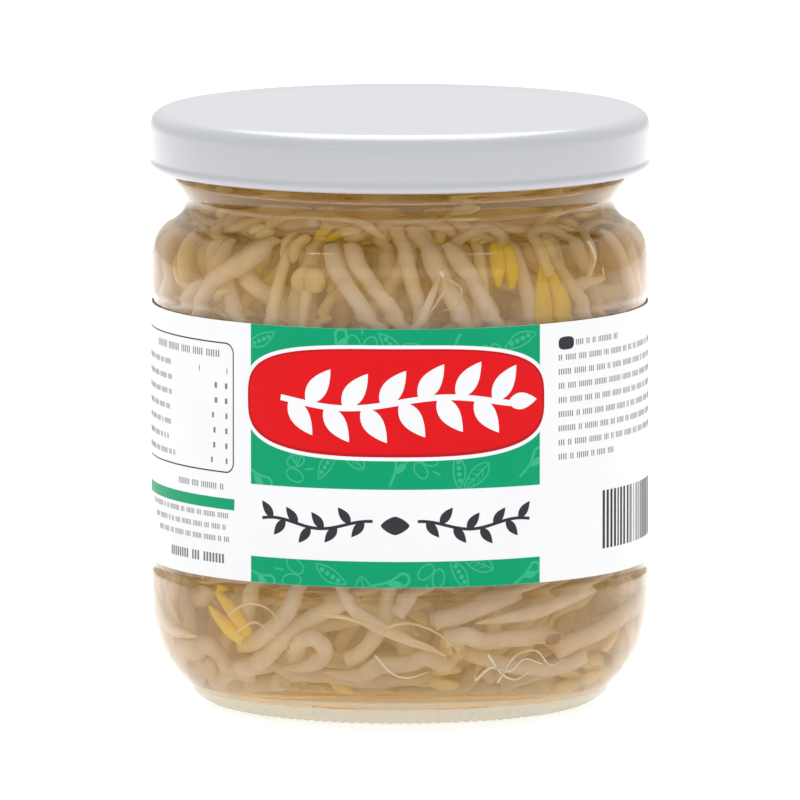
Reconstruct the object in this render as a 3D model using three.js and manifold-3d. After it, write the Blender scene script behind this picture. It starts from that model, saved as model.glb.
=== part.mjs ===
// A twist-off glass jar of bean sprouts in brine. Millimetres, +Z up.
// The origin is under the middle of the jar, on the plane that it stands on. The front faces -Y.
import * as THREE from 'three';
import { mergeVertices } from 'three/addons/utils/BufferGeometryUtils.js';
import Module from 'manifold-3d';

const wasm = await Module();
wasm.setup();

// Driving sizes of the glass
const BODY_R = 40.3;
const PANEL_R = 39.75;
const PANEL_BOTTOM = 22.4;
const PANEL_TOP = 66;
const BODY_BOTTOM = 18;
const BODY_TOP = 70.5;
const BORE_R = 37.3;
const NECK_R = 34.6;
const NECK_BORE_R = 32;
const BEAD_R = 36.5;
const FINISH_R = 36.9;
const MOUTH_R = 33.8;
const RIM_Z = 94.4;
const RING_INNER_R = 26.5;
const RING_OUTER_R = 29.5;
const PUSH_UP = 2.2;
const FLOOR_Z = 5.6;

// Driving sizes of the cap, its liner, the label and the brine
const LID_R = 40.3;
const LID_BOTTOM = 86.5;
const LID_TOP = 96.35;
const SHEET = 0.3;
const LUGS = 6;
const LUG_INNER_R = 37.4;
const LUG_BOTTOM = 87.2;
const LUG_HEIGHT = 1.1;
const LUG_WIDTH = 7;
const LUG_ROOT_R = 39.1;
const THREAD_RADIUS = 1.2;
const THREAD_CLEARANCE = 0.4;
const THREAD_START = -6;
const THREAD_END = 38;
const RISE_PER_DEGREE = 3 * Math.PI / 180;
const LABEL_BOTTOM = 23.4;
const LABEL_TOP = 65;
const LABEL_HALF_ARC = 157.5;
const LABEL_THICKNESS = 0.25;
const BRINE_TOP = 87;
const BRINE_WALL = 0.7;

// Clear space between neighbouring pieces, and the sides of every turned piece
const GAP = 0.3;
const SIDES = 32;
const CURVE_STEPS = 2;

const degrees = THREE.MathUtils.degToRad;
const point = (r, z) => new THREE.Vector2(r, z);

// Solids

function toSolid(geometry) {
  const bare = geometry.clone();
  for (const name of Object.keys(bare.attributes)) {
    if (name !== 'position') bare.deleteAttribute(name);
  }
  const merged = mergeVertices(bare, 1e-4);
  const index = merged.index.array;
  const triVerts = [];
  for (let i = 0; i < index.length; i += 3) {
    const [a, b, c] = [index[i], index[i + 1], index[i + 2]];
    if (a !== b && b !== c && c !== a) triVerts.push(a, b, c);
  }
  return new wasm.Manifold(new wasm.Mesh({
    numProp: 3,
    vertProperties: new Float32Array(merged.attributes.position.array),
    triVerts: new Uint32Array(triVerts),
  }));
}

function largestBody(solid) {
  return solid.decompose().reduce((best, part) => (part.volume() > best.volume() ? part : best));
}

function toMesh(name, solid, material) {
  const { vertProperties, triVerts, numProp } = solid.getMesh();
  const geometry = new THREE.BufferGeometry();
  const position = new Float32Array(vertProperties.length / numProp * 3);
  for (let i = 0; i < position.length / 3; i += 1) {
    position.set(vertProperties.subarray(i * numProp, i * numProp + 3), i * 3);
  }
  geometry.setAttribute('position', new THREE.BufferAttribute(position, 3));
  geometry.setIndex(new THREE.BufferAttribute(new Uint32Array(triVerts), 1));
  geometry.computeVertexNormals();
  const mesh = new THREE.Mesh(geometry, material);
  mesh.name = name;
  return mesh;
}

// A turned solid. Its outline runs anticlockwise in (radius, height), so its faces point out.
function turned(outline) {
  const geometry = new THREE.LatheGeometry(outline, SIDES);
  geometry.rotateX(Math.PI / 2);
  return toSolid(geometry);
}

function curve(from, control, to) {
  return new THREE.QuadraticBezierCurve(from, control, to).getPoints(CURVE_STEPS).slice(1);
}

// Materials

function finish(color, roughness, metalness = 0, extra = {}) {
  return new THREE.MeshStandardMaterial({ color, roughness, metalness, ...extra });
}

const glassFinish = finish(0xe6eee6, 0.05, 0, { transparent: true, opacity: 0.25 });
const brineFinish = finish(0xc9a46c, 0.1, 0, { transparent: true, opacity: 0.35 });
const lacquerFinish = finish(0xe6e8ec, 0.25, 0.1);
const linerFinish = finish(0xe9e4d8, 0.6);
const paperFinish = finish(0xf3f4f6, 0.55);
const sproutFinish = finish(0xd9c8a4, 0.45);
const yellowSproutFinish = finish(0xdcb84a, 0.45);

// The glass jar

// The hollow of the jar, from the middle of its floor up to the given height, set in by a gap.
function hollow(gap, top) {
  const neckRadius = NECK_BORE_R - gap;
  return [
    point(0, FLOOR_Z + gap),
    point(26, FLOOR_Z - 0.8 + gap),
    ...curve(point(26, FLOOR_Z - 0.8 + gap), point(36 - gap, FLOOR_Z - 0.6 + gap), point(BORE_R - gap, 14.5)),
    point(BORE_R - gap, BODY_TOP - 1),
    ...curve(point(BORE_R - gap, BODY_TOP - 1), point(BORE_R - gap, 74.6), point(34.6 - gap, 76.6)),
    ...curve(point(34.6 - gap, 76.6), point(neckRadius, 78.4), point(neckRadius, 82)),
    point(neckRadius, top),
  ];
}

function jarOutline() {
  const inside = [
    ...hollow(0, 86.5),
    point(MOUTH_R, 89),
    point(MOUTH_R, RIM_Z - 0.5),
  ];
  return [
    point(0, PUSH_UP),
    point(24, PUSH_UP - 0.6),
    point(RING_INNER_R, 0),
    point(RING_OUTER_R, 0),
    ...curve(point(RING_OUTER_R, 0), point(33, 0.6), point(34.3, 3.4)),
    ...curve(point(34.3, 3.4), point(BODY_R, 8.6), point(BODY_R, BODY_BOTTOM)),
    point(BODY_R, PANEL_BOTTOM - 0.9),
    point(PANEL_R, PANEL_BOTTOM),
    point(PANEL_R, PANEL_TOP),
    point(BODY_R, PANEL_TOP + 0.9),
    point(BODY_R, BODY_TOP),
    ...curve(point(BODY_R, BODY_TOP), point(BODY_R, 76), point(37.3, 77.6)),
    ...curve(point(37.3, 77.6), point(NECK_R, 79), point(NECK_R, 81.8)),
    point(BEAD_R - 0.3, 84.3),
    point(BEAD_R, 85),
    point(BEAD_R - 0.5, 85.8),
    point(BEAD_R - 0.6, 87),
    point(FINISH_R, 88),
    point(FINISH_R, RIM_Z - 0.7),
    point(FINISH_R - 0.8, RIM_Z),
    point(MOUTH_R + 0.6, RIM_Z),
    ...inside.reverse(),
  ];
}

// One sloped ridge on the mouth. A lug of the cap, turning open, slides up along its underside.
function threadRidge(startDegrees) {
  const lowest = LUG_BOTTOM + LUG_HEIGHT + THREAD_CLEARANCE + THREAD_RADIUS;
  const stations = [];
  const steps = 4;
  for (let i = 0; i <= steps; i += 1) {
    const turn = THREAD_START + (THREAD_END - THREAD_START) * i / steps;
    const angle = degrees(startDegrees + turn);
    const height = lowest + RISE_PER_DEGREE * turn;
    stations.push(new THREE.Vector3(FINISH_R * Math.cos(angle), FINISH_R * Math.sin(angle), height));
  }
  const section = new THREE.Shape().absarc(0, 0, THREAD_RADIUS, 0, 2 * Math.PI);
  return toSolid(new THREE.ExtrudeGeometry(section, {
    steps,
    curveSegments: 5,
    bevelEnabled: false,
    extrudePath: new THREE.CatmullRomCurve3(stations),
  }));
}

function jarSolid() {
  const parts = [turned(jarOutline())];
  for (let i = 0; i < LUGS; i += 1) parts.push(threadRidge(i * 360 / LUGS));
  return wasm.Manifold.union(parts);
}

// The cap: a thin sheet with a rolled lower edge, and lugs that reach inwards from the roll

function lidSolid() {
  const inner = LID_R - SHEET;
  const parts = [turned([
    point(0, LID_TOP - SHEET),
    point(32.5, LID_TOP - SHEET),
    point(38.6, LID_TOP - 0.45 - SHEET),
    point(inner - 0.3, LID_TOP - 1.6),
    point(inner, LID_TOP - 2.6),
    point(inner, LID_BOTTOM + 2),
    point(inner - 0.9, LID_BOTTOM + 1.9),
    point(LID_R - 1.8, LID_BOTTOM + 1.3),
    point(LID_R - 1.8, LID_BOTTOM + 0.4),
    point(LID_R - 1.3, LID_BOTTOM),
    point(LID_R - 0.4, LID_BOTTOM + 0.2),
    point(LID_R, LID_BOTTOM + 0.9),
    point(LID_R, LID_TOP - 2.3),
    point(LID_R - 0.35, LID_TOP - 0.9),
    point(LID_R - 1.3, LID_TOP - 0.3),
    point(32.5, LID_TOP),
    point(0, LID_TOP),
  ])];
  const reach = LUG_ROOT_R - LUG_INNER_R;
  for (let i = 0; i < LUGS; i += 1) {
    const lug = new THREE.BoxGeometry(reach, LUG_WIDTH, LUG_HEIGHT);
    lug.translate(LUG_INNER_R + reach / 2, 0, LUG_BOTTOM + LUG_HEIGHT / 2);
    lug.rotateZ(degrees(i * 360 / LUGS));
    parts.push(toSolid(lug));
  }
  return wasm.Manifold.union(parts);
}

function linerSolid() {
  const bottom = RIM_Z + GAP;
  const top = LID_TOP - 0.45 - SHEET - GAP;
  return turned([
    point(MOUTH_R - 0.8, bottom),
    point(FINISH_R + 1, bottom),
    point(FINISH_R + 1, top - 0.1),
    point(MOUTH_R - 0.8, top),
    point(MOUTH_R - 0.8, bottom),
  ]);
}

// The paper label, bent round the flat panel of the body and open at the back
function labelSolid() {
  const inner = PANEL_R + GAP;
  const outer = inner + LABEL_THICKNESS;
  const step = 360 / SIDES;
  const outline = [];
  for (let turn = -LABEL_HALF_ARC; turn <= LABEL_HALF_ARC; turn += step) {
    outline.push(point(outer * Math.sin(degrees(turn)), -outer * Math.cos(degrees(turn))));
  }
  for (let turn = LABEL_HALF_ARC; turn >= -LABEL_HALF_ARC; turn -= step) {
    outline.push(point(inner * Math.sin(degrees(turn)), -inner * Math.cos(degrees(turn))));
  }
  const geometry = new THREE.ExtrudeGeometry(new THREE.Shape(outline), {
    depth: LABEL_TOP - LABEL_BOTTOM,
    bevelEnabled: false,
  });
  geometry.translate(0, 0, LABEL_BOTTOM);
  return toSolid(geometry);
}

// The brine: a cup of liquid that fills the jar inside the glass, with one plain hole for the sprouts
function brineSolid() {
  return turned([
    ...hollow(GAP, BRINE_TOP),
    ...hollow(GAP + BRINE_WALL, BRINE_TOP).reverse(),
  ]);
}

// The sprouts

// Every sprout is a chain of beads from its root tip to its head.
const BEADS = 33;
const TOUCH = 0.3;
const ROUNDS = 160;
const CORE_R = 25.5;
const CORE_BOTTOM = 12;
const CORE_TOP = 78;

// The space that the sprouts fill, as flat limits in (radius, height): outward normal and reach
const SPROUT_R = 35.9;
const LIMITS = [
  limit([0, 6.9], [26, 6.1]),
  limit([26, 6.1], [32.9, 8.4]),
  limit([32.9, 8.4], [SPROUT_R, 14.5]),
  limit([SPROUT_R, 14.5], [SPROUT_R, 69.5]),
  limit([SPROUT_R, 69.5], [35.1, 73.2]),
  limit([35.4, 85], [0, 85]),
];
const SHOULDER = limit([35.1, 73.2], [30.3, 78.1]);
const NECK = limit([30.3, 78], [30.3, 85]);

function limit([r0, z0], [r1, z1]) {
  const length = Math.hypot(r1 - r0, z1 - z0);
  const nr = (z1 - z0) / length;
  const nz = (r0 - r1) / length;
  return { nr, nz, reach: nr * r0 + nz * z0 };
}

// Sprouts that lie on the front of the glass: [degrees to the right of the front, height, depth] from
// the root tip to the head, with the stem's radius, and the head: a bud, an opened leaf pair or none.
const FRONT = [
  { r: 1.35, head: 'bud', path: [[-30, 24, 1], [-34, 44, 0], [-35, 64, 0], [-35, 76, 0], [-39, 79.5, 1]] },
  { r: 1.3, head: 'bud', path: [[-12, 30, 1], [-20, 46, 0], [-26, 60, 0], [-25, 69, 0], [-24, 74, 0]] },
  { r: 1.4, head: 'none', path: [[20, 36, 0], [21, 52, 0], [18, 64, 0], [11, 73, 0], [5, 82, 0]] },
  { r: 1.3, head: 'none', path: [[8, 40, 1], [3, 54, 1], [-6, 65, 0], [-12, 70, 0], [-20, 76, 0]] },
  { r: 1.25, head: 'none', path: [[18, 44, 2], [10, 56, 2], [1, 65, 2], [-7, 71, 2], [-15, 76, 2]] },
  { r: 1.25, head: 'none', path: [[0, 48, 3], [5, 62, 3], [5, 71, 3], [1, 76, 2.5], [-3, 82, 3]] },
  { r: 1.05, head: 'bud', path: [[11, 74, 0], [7, 68, 0], [-1, 58, 0], [-8, 44, 0], [-6, 34, 1]] },
  { r: 1.3, head: 'none', path: [[38, 52, 3], [38, 64, 3], [34, 72, 3], [25, 78, 2.5], [15, 81.5, 2]] },
  { r: 1.15, head: 'leaf', path: [[8, 68, 8], [16, 76, 6], [24, 80.5, 2.5], [27, 79, 0], [29, 70, 0]] },
  { r: 1.35, head: 'none', path: [[66, 70, 4], [56, 71, 3], [42, 72, 3], [28, 73, 3], [16, 73.5, 4]] },
  { r: 1.2, head: 'leaf', path: [[70, 60, 6], [60, 72, 4], [50, 80, 2], [43, 78, 0], [44, 63, 0]] },
  { r: 1.35, head: 'bud', path: [[56, 36, 0], [58, 50, 0], [53, 64, 0], [49, 71, 0], [45, 79, 0]] },
  { r: 1.1, head: 'bud', path: [[54, 71.5, 1], [61, 74, 0], [63, 78, 0.5], [76, 79, 1], [94, 70, 0], [98, 60, 0]] },
  { r: 1.35, head: 'none', path: [[36, 38, 0], [32, 50, 0], [26, 65, 0], [20, 72, 0], [15, 77, 2.5]] },
  { r: 1.35, head: 'none', path: [[82, 34, 0], [84, 50, 0], [79, 64, 0], [72, 76, 0]] },
  { r: 1.45, head: 'none', path: [[-68, 52, 0], [-62, 64, 0], [-52, 72, 0], [-44, 75, 0], [-38, 77.5, 1.5]] },
  { r: 1.3, head: 'bud', path: [[-60, 30, 0], [-56, 48, 0], [-62, 62, 1.5], [-68, 69, 0], [-75, 74, 0]] },
  { r: 1.4, head: 'none', path: [[-44, 38, 0], [-42, 52, 0], [-44, 63, 0], [-50, 68, 2], [-58, 73, 3]] },
  { r: 1.25, head: 'bud', path: [[0, 77, 6], [-14, 80, 4.5], [-28, 80.5, 3], [-40, 80.5, 2.5], [-49, 77.5, 0]] },
  { r: 1.2, head: 'bud', path: [[24, 76, 8], [12, 79, 6], [0, 80, 4], [-8, 80, 2], [-17, 79, 1]] },
  {
    r: 1.35,
    head: 'leaf',
    path: [[-14, 46, 0], [-22, 34, 0], [-26, 23, 0], [-29, 18, 0], [-34, 14.2, 0], [-42, 12, 0], [-50, 12.5, 0], [-54, 19, 0]],
  },
  { r: 1.3, head: 'none', path: [[-38, 46, 2], [-36, 36, 2], [-38, 26, 2], [-44, 19, 2], [-48, 14, 1.5]] },
  {
    r: 1.4,
    head: 'none',
    path: [[10, 32, 2], [-2, 23, 2], [-15, 20.5, 2], [-23, 17.7, 2.5], [-31, 15, 3], [-40, 11.5, 2], [-45, 6, 1]],
  },
  { r: 1.35, head: 'none', path: [[-31, 8, 0], [-24, 9.8, 0], [-19.5, 12, 0], [-22, 14.6, 0], [-27, 14.2, 1], [-34, 11, 5]] },
  { r: 1.35, head: 'none', path: [[4, 40, 2], [0, 30, 2], [-4, 20, 2], [-6, 15, 1], [-9, 9, 1]] },
  { r: 1.2, head: 'bud', path: [[-46, 12, 5], [-34, 10, 5], [-21, 9.4, 4], [-8, 8.6, 4], [8, 8.4, 4], [18, 9, 4]] },
  { r: 1.15, head: 'bud', path: [[11, 11.8, 0], [6, 13.2, 0], [0, 15.4, 0], [-8, 17.2, 0], [-15, 21, 0], [-15, 32, 1], [-10, 42, 2]] },
  {
    r: 1.3,
    head: 'bud',
    path: [[-16, 10, 2], [-12, 7.4, 0], [-6, 6, 0], [1, 7, 0], [4, 10, 0], [9, 11.2, 0], [14, 9.5, 0], [14.5, 6.5, 0], [10, 5.6, 0]],
  },
  { r: 1.45, head: 'none', path: [[64, 9, 4], [50, 12, 3], [37, 14.3, 0], [20, 14, 0], [12, 11.6, 1]] },
  { r: 1.45, head: 'none', path: [[62, 34, 0], [50, 27, 0], [36, 22.4, 0], [22, 19.6, 0], [9, 16.8, 1]] },
  { r: 1.45, head: 'none', path: [[108, 22, 0], [92, 18, 0], [75, 15.5, 0], [57, 13.5, 0], [46, 11, 0]] },
  { r: 1.2, head: 'bud', path: [[20, 17, 0], [36, 18, 0], [50, 20, 0], [64, 22.5, 0], [76, 26, 0]] },
  { r: 1.3, head: 'none', path: [[6, 12, 5], [18, 11, 4], [30, 9.8, 2], [42, 8.6, 1], [55, 6.8, 0]] },
  { r: 1.3, head: 'none', path: [[28, 48, 2], [22, 40, 2], [16, 31, 1], [9, 24, 0], [-2, 19.4, 0]] },
];

// How many more sprouts lie on the rest of the glass, and how many stand out of the inner mass
const REST_OF_WALL = 20;
const INNER = 52;
const INNER_DEPTHS = [14, 9, 7, 6, 5];

// Steps that spread points evenly over an area, one for each direction
const SPREAD_A = 0.7548777;
const SPREAD_B = 0.5698403;

const WALL_SEED = 41;
const INNER_SEED = 97;

// A repeatable draw between 0 and 1
function draw(seed) {
  let state = seed >>> 0;
  return () => {
    state = (state + 0x6d2b79f5) >>> 0;
    let mixed = Math.imul(state ^ (state >>> 15), 1 | state);
    mixed = (mixed + Math.imul(mixed ^ (mixed >>> 7), 61 | mixed)) ^ mixed;
    return ((mixed ^ (mixed >>> 14)) >>> 0) / 4294967296;
  };
}

// A sprout on the sides or the back of the glass, wandering from a middle point both ways
function wallSprout(random, order) {
  const middle = 92 + (270 - 92) * ((order * SPREAD_A + 0.2) % 1);
  const height = 14 + 60 * ((order * SPREAD_B + 0.5) % 1);
  const heading = degrees(random() * 360);
  const bend = (random() - 0.5) * 0.6;
  const path = [];
  for (let step = -2; step <= 2; step += 1) {
    const direction = heading + bend * step;
    const along = step * (10 + 2 * random());
    path.push([
      middle + along * Math.cos(direction) * 1.65,
      Math.min(80, Math.max(8, height + along * Math.sin(direction))),
      2.6 * random(),
    ]);
  }
  const head = random() < 0.6 ? 'bud' : 'none';
  return { r: 1.15 + 0.3 * random(), head, path };
}

// A sprout with its root sunk in the inner mass, which lies on it and stands out of it
function innerSprout(random, order) {
  const start = 360 * ((order * SPREAD_A) % 1);
  const height = 12 + 64 * ((order * SPREAD_B) % 1);
  const turn = (random() < 0.5 ? -1 : 1) * (8 + 14 * random());
  const climb = (random() - 0.5) * 26;
  const path = INNER_DEPTHS.map((depth, step) => [
    start + turn * step,
    Math.min(80, Math.max(9, height + climb * (step - 1))),
    depth,
  ]);
  return { r: 1.2 + 0.25 * random(), head: random() < 0.5 ? 'bud' : 'none', path };
}

// Radius of the stem at a bead, and of the whole sprout there, with its head
function stemRadius(plant, bead) {
  const share = bead / (BEADS - 1);
  const tail = Math.min(1, 0.32 + share * 2.6);
  const neck = plant.head === 'none' ? 0 : Math.min(1, Math.max(0, (share - 0.72) / 0.14));
  return plant.r * tail * (1 - 0.3 * neck);
}

function fullRadius(plant, bead) {
  const fromTip = BEADS - 1 - bead;
  if (plant.head === 'bud' && fromTip < 5) return 2;
  if (plant.head === 'leaf' && fromTip < 7) return 2.1;
  return stemRadius(plant, bead);
}

// The beads of a sprout, spaced evenly along its path and then smoothed
function beadsAlong(plant) {
  const corners = plant.path.map(([turn, height, depth]) => {
    const r = SPROUT_R - plant.r - depth;
    return new THREE.Vector3(r * Math.sin(degrees(turn)), -r * Math.cos(degrees(turn)), height);
  });
  const lengths = [0];
  for (let i = 1; i < corners.length; i += 1) {
    lengths.push(lengths[i - 1] + corners[i].distanceTo(corners[i - 1]));
  }
  const beads = [];
  let leg = 1;
  for (let i = 0; i < BEADS; i += 1) {
    const at = lengths[lengths.length - 1] * i / (BEADS - 1);
    while (leg < corners.length - 1 && lengths[leg] < at) leg += 1;
    const share = (at - lengths[leg - 1]) / (lengths[leg] - lengths[leg - 1]);
    beads.push(corners[leg - 1].clone().lerp(corners[leg], share));
  }
  for (let round = 0; round < 6; round += 1) {
    const before = beads.map((bead) => bead.clone());
    for (let i = 1; i < BEADS - 1; i += 1) {
      beads[i].addScaledVector(before[i - 1], 0.5).addScaledVector(before[i + 1], 0.5).multiplyScalar(0.5);
    }
  }
  return beads;
}

// Moves a bead back inside the space for the sprouts
function keepInside(bead, radius, coreRadius) {
  for (const { nr, nz, reach } of LIMITS) pushIn(bead, radius, nr, nz, reach);
  const r = Math.hypot(bead.x, bead.y);
  const overShoulder = SHOULDER.nr * r + SHOULDER.nz * bead.z + radius - SHOULDER.reach;
  const overNeck = NECK.nr * r + NECK.nz * bead.z + radius - NECK.reach;
  if (overShoulder > 0 && overNeck > 0) {
    const nearer = overShoulder < overNeck ? SHOULDER : NECK;
    pushIn(bead, radius, nearer.nr, nearer.nz, nearer.reach);
  }
  if (coreRadius > 0) {
    const least = coreRadius + radius;
    if (r < least && bead.z > CORE_BOTTOM - radius && bead.z < CORE_TOP + radius) {
      bead.x *= least / r;
      bead.y *= least / r;
    }
  }
}

function pushIn(bead, radius, nr, nz, reach) {
  const r = Math.hypot(bead.x, bead.y);
  const over = nr * r + nz * bead.z + radius - reach;
  if (over <= 0) return;
  const scale = (r - nr * over) / r;
  bead.x *= scale;
  bead.y *= scale;
  bead.z -= nz * over;
}

// Presses the sprouts apart until they only touch, while each keeps its length and its bends
function settle(chains) {
  const cell = 5;
  const all = [];
  chains.forEach((chain, owner) => chain.beads.forEach((bead, order) => {
    all.push({ bead, owner, order, radius: chain.radii[order], shift: new THREE.Vector3(), hits: 0 });
  }));
  for (const chain of chains) {
    chain.near = spans(chain.beads, 1);
    chain.far = spans(chain.beads, 3);
    chain.farther = spans(chain.beads, 8);
  }
  const between = new THREE.Vector3();
  for (let round = 0; round < ROUNDS; round += 1) {
    const grid = new Map();
    const key = (x, y, z) => x * 10000 + y * 100 + z;
    for (const item of all) {
      item.shift.set(0, 0, 0);
      item.hits = 0;
      item.cell = [item.bead.x, item.bead.y, item.bead.z].map((value) => Math.floor(value / cell) + 50);
      const name = key(...item.cell);
      if (!grid.has(name)) grid.set(name, []);
      grid.get(name).push(item);
    }
    for (const item of all) {
      const [cx, cy, cz] = item.cell;
      for (let step = 0; step < 27; step += 1) {
        const name = key(cx + step % 3 - 1, cy + Math.floor(step / 3) % 3 - 1, cz + Math.floor(step / 9) - 1);
        for (const other of grid.get(name) ?? []) {
          if (other === item) continue;
          if (other.owner === item.owner && Math.abs(other.order - item.order) < 8) continue;
          between.subVectors(item.bead, other.bead);
          const distance = between.length();
          const overlap = item.radius + other.radius + TOUCH - distance;
          if (overlap <= 0 || distance === 0) continue;
          item.shift.addScaledVector(between, overlap / 2 / distance);
          item.hits += 1;
        }
      }
    }
    for (const item of all) {
      if (item.hits > 0) item.bead.addScaledVector(item.shift, 1.3 / item.hits);
    }
    for (const chain of chains) {
      holdSpans(chain.beads, chain.near, 1, 1);
      holdSpans(chain.beads, chain.far, 3, 0.5);
      holdSpans(chain.beads, chain.farther, 8, 0.5);
      chain.beads.forEach((bead, order) => keepInside(bead, chain.radii[order], chain.core));
    }
  }
}

function spans(beads, apart) {
  const lengths = [];
  for (let i = 0; i + apart < beads.length; i += 1) lengths.push(beads[i].distanceTo(beads[i + apart]));
  return lengths;
}

function holdSpans(beads, lengths, apart, firmness) {
  const between = new THREE.Vector3();
  for (let i = 0; i + apart < beads.length; i += 1) {
    between.subVectors(beads[i + apart], beads[i]);
    const distance = between.length();
    const share = firmness * 0.5 * (distance - lengths[i]) / distance;
    beads[i].addScaledVector(between, share);
    beads[i + apart].addScaledVector(between, -share);
  }
}

// A sprout as one solid: a tube of few sides for its stem, which widens into a cloven head

const STEM_SIDES = 5;
const SLIM = 0.14;
const SAG = 0.3;
const LONGEST_STEP = 8;

// Beads where the head starts and where it has its rings, with each ring's half width, and its flatness
const HEADS = {
  none: { neck: BEADS - 1, rings: [], flatness: 1 },
  bud: { neck: 27, rings: [[29, 1.55], [30, 1.9], [31, 1.7]], flatness: 0.85 },
  leaf: { neck: 24, rings: [[26, 1.3], [28, 2.1], [30, 1.7]], flatness: 0.4 },
};

// Beads that the tube goes through: few where it is straight and more where it bends
function stations(beads, neck) {
  const chosen = [0];
  let from = 0;
  for (let to = 2; to <= neck; to += 1) {
    const middle = Math.floor((from + to) / 2);
    const chord = beads[from].clone().lerp(beads[to], (middle - from) / (to - from));
    if (beads[middle].distanceTo(chord) > SAG || to - from > LONGEST_STEP) {
      chosen.push(to - 1);
      from = to - 1;
    }
  }
  chosen.push(neck);
  return chosen;
}

function sproutSolid(plant, beads) {
  const head = HEADS[plant.head];
  const rings = stations(beads, head.neck).map((bead) => ({ bead, radius: stemRadius(plant, bead) - SLIM, flatness: 1 }));
  for (const [bead, radius] of head.rings) rings.push({ bead, radius, flatness: head.flatness });
  const tip = beads[BEADS - 1];
  let outward = new THREE.Vector3(tip.x, tip.y, 0).normalize();
  for (const ring of [...rings].reverse()) {
    const before = beads[Math.max(0, ring.bead - 1)];
    const after = beads[Math.min(BEADS - 1, ring.bead + 1)];
    const along = after.clone().sub(before).normalize();
    outward = outward.clone().addScaledVector(along, -outward.dot(along)).normalize();
    ring.across = new THREE.Vector3().crossVectors(along, outward);
    ring.through = outward.clone();
  }
  const corners = rings.flatMap((ring) => Array.from({ length: STEM_SIDES }, (_, side) => {
    const angle = 2 * Math.PI * (side + 0.5) / STEM_SIDES;
    return beads[ring.bead].clone()
      .addScaledVector(ring.across, ring.radius * Math.cos(angle))
      .addScaledVector(ring.through, ring.radius * ring.flatness * Math.sin(angle));
  }));
  const faces = [];
  for (let ring = 0; ring < rings.length - 1; ring += 1) {
    for (let side = 0; side < STEM_SIDES; side += 1) {
      const a = ring * STEM_SIDES + side;
      const b = ring * STEM_SIDES + (side + 1) % STEM_SIDES;
      faces.push(a, a + STEM_SIDES, b, b, a + STEM_SIDES, b + STEM_SIDES);
    }
  }
  for (let side = 1; side < STEM_SIDES - 1; side += 1) faces.push(0, side, side + 1);
  const last = (rings.length - 1) * STEM_SIDES;
  if (plant.head === 'none') {
    for (let side = 1; side < STEM_SIDES - 1; side += 1) faces.push(last, last + side + 1, last + side);
  } else {
    closeHead(corners, faces, rings[rings.length - 1], last, beads);
  }
  const geometry = new THREE.BufferGeometry();
  geometry.setFromPoints(corners);
  geometry.setIndex(faces);
  return toSolid(geometry);
}

// Ends a head in the tips of its two seed leaves, with a cleft between them
function closeHead(corners, faces, widest, last, beads) {
  const tip = beads[BEADS - 1];
  const cleft = corners.length;
  corners.push(beads[widest.bead].clone().lerp(tip, 0.15));
  corners.push(tip.clone().addScaledVector(widest.across, 0.55 * widest.radius));
  corners.push(tip.clone().addScaledVector(widest.across, -0.55 * widest.radius));
  const lobes = [[4, 0, 1], [1, 2, 3, 4]];
  const tips = [cleft + 1, cleft + 2];
  lobes.forEach((sides, lobe) => {
    for (let i = 0; i + 1 < sides.length; i += 1) faces.push(last + sides[i], tips[lobe], last + sides[i + 1]);
    faces.push(last + sides[sides.length - 1], tips[lobe], cleft);
    faces.push(cleft, tips[lobe], last + sides[0]);
  });
}

// The hidden middle of the sprouts, which the inner ones stand out of
function coreSolid() {
  return turned([
    point(0, CORE_BOTTOM),
    point(18, CORE_BOTTOM + 1),
    point(CORE_R - 0.6, CORE_BOTTOM + 9),
    point(CORE_R - 1.4, 45),
    point(CORE_R - 0.6, CORE_TOP - 9),
    point(18, CORE_TOP - 1),
    point(0, CORE_TOP),
  ]);
}

function sproutMeshes() {
  const wallRandom = draw(WALL_SEED);
  const innerRandom = draw(INNER_SEED);
  const outer = [...FRONT];
  for (let i = 0; i < REST_OF_WALL; i += 1) outer.push(wallSprout(wallRandom, i));
  const inner = [];
  for (let i = 0; i < INNER; i += 1) inner.push(innerSprout(innerRandom, i));
  const chains = [...outer, ...inner].map((plant, order) => ({
    plant,
    beads: beadsAlong(plant),
    radii: Array.from({ length: BEADS }, (_, bead) => fullRadius(plant, bead)),
    core: order < outer.length ? CORE_R + 0.3 : 0,
  }));
  settle(chains);
  const meshes = chains.slice(0, outer.length).map(({ plant, beads }, order) => toMesh(
    `sprout_${String(order + 1).padStart(2, '0')}`,
    sproutSolid(plant, beads),
    plant.head === 'leaf' ? yellowSproutFinish : sproutFinish,
  ));
  const mass = [coreSolid()];
  for (const { plant, beads } of chains.slice(outer.length)) mass.push(sproutSolid(plant, beads));
  meshes.push(toMesh('sprouts_inner', largestBody(wasm.Manifold.union(mass)), sproutFinish));
  return meshes;
}

// The whole jar

const jar = new THREE.Group();
jar.add(toMesh('jar_glass', jarSolid(), glassFinish));
jar.add(toMesh('label', labelSolid(), paperFinish));
jar.add(toMesh('brine', brineSolid(), brineFinish));
jar.add(...sproutMeshes());
jar.add(toMesh('lid_liner', linerSolid(), linerFinish));
jar.add(toMesh('lid', lidSolid(), lacquerFinish));

export default jar;
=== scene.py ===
# A twist-off glass jar of bean sprouts in brine, with its paper label and white lacquered lid.
# Sizes are in millimetres until a mesh is made. The origin is under the middle of the jar.
# The front of the label faces -Y.
import math

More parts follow.
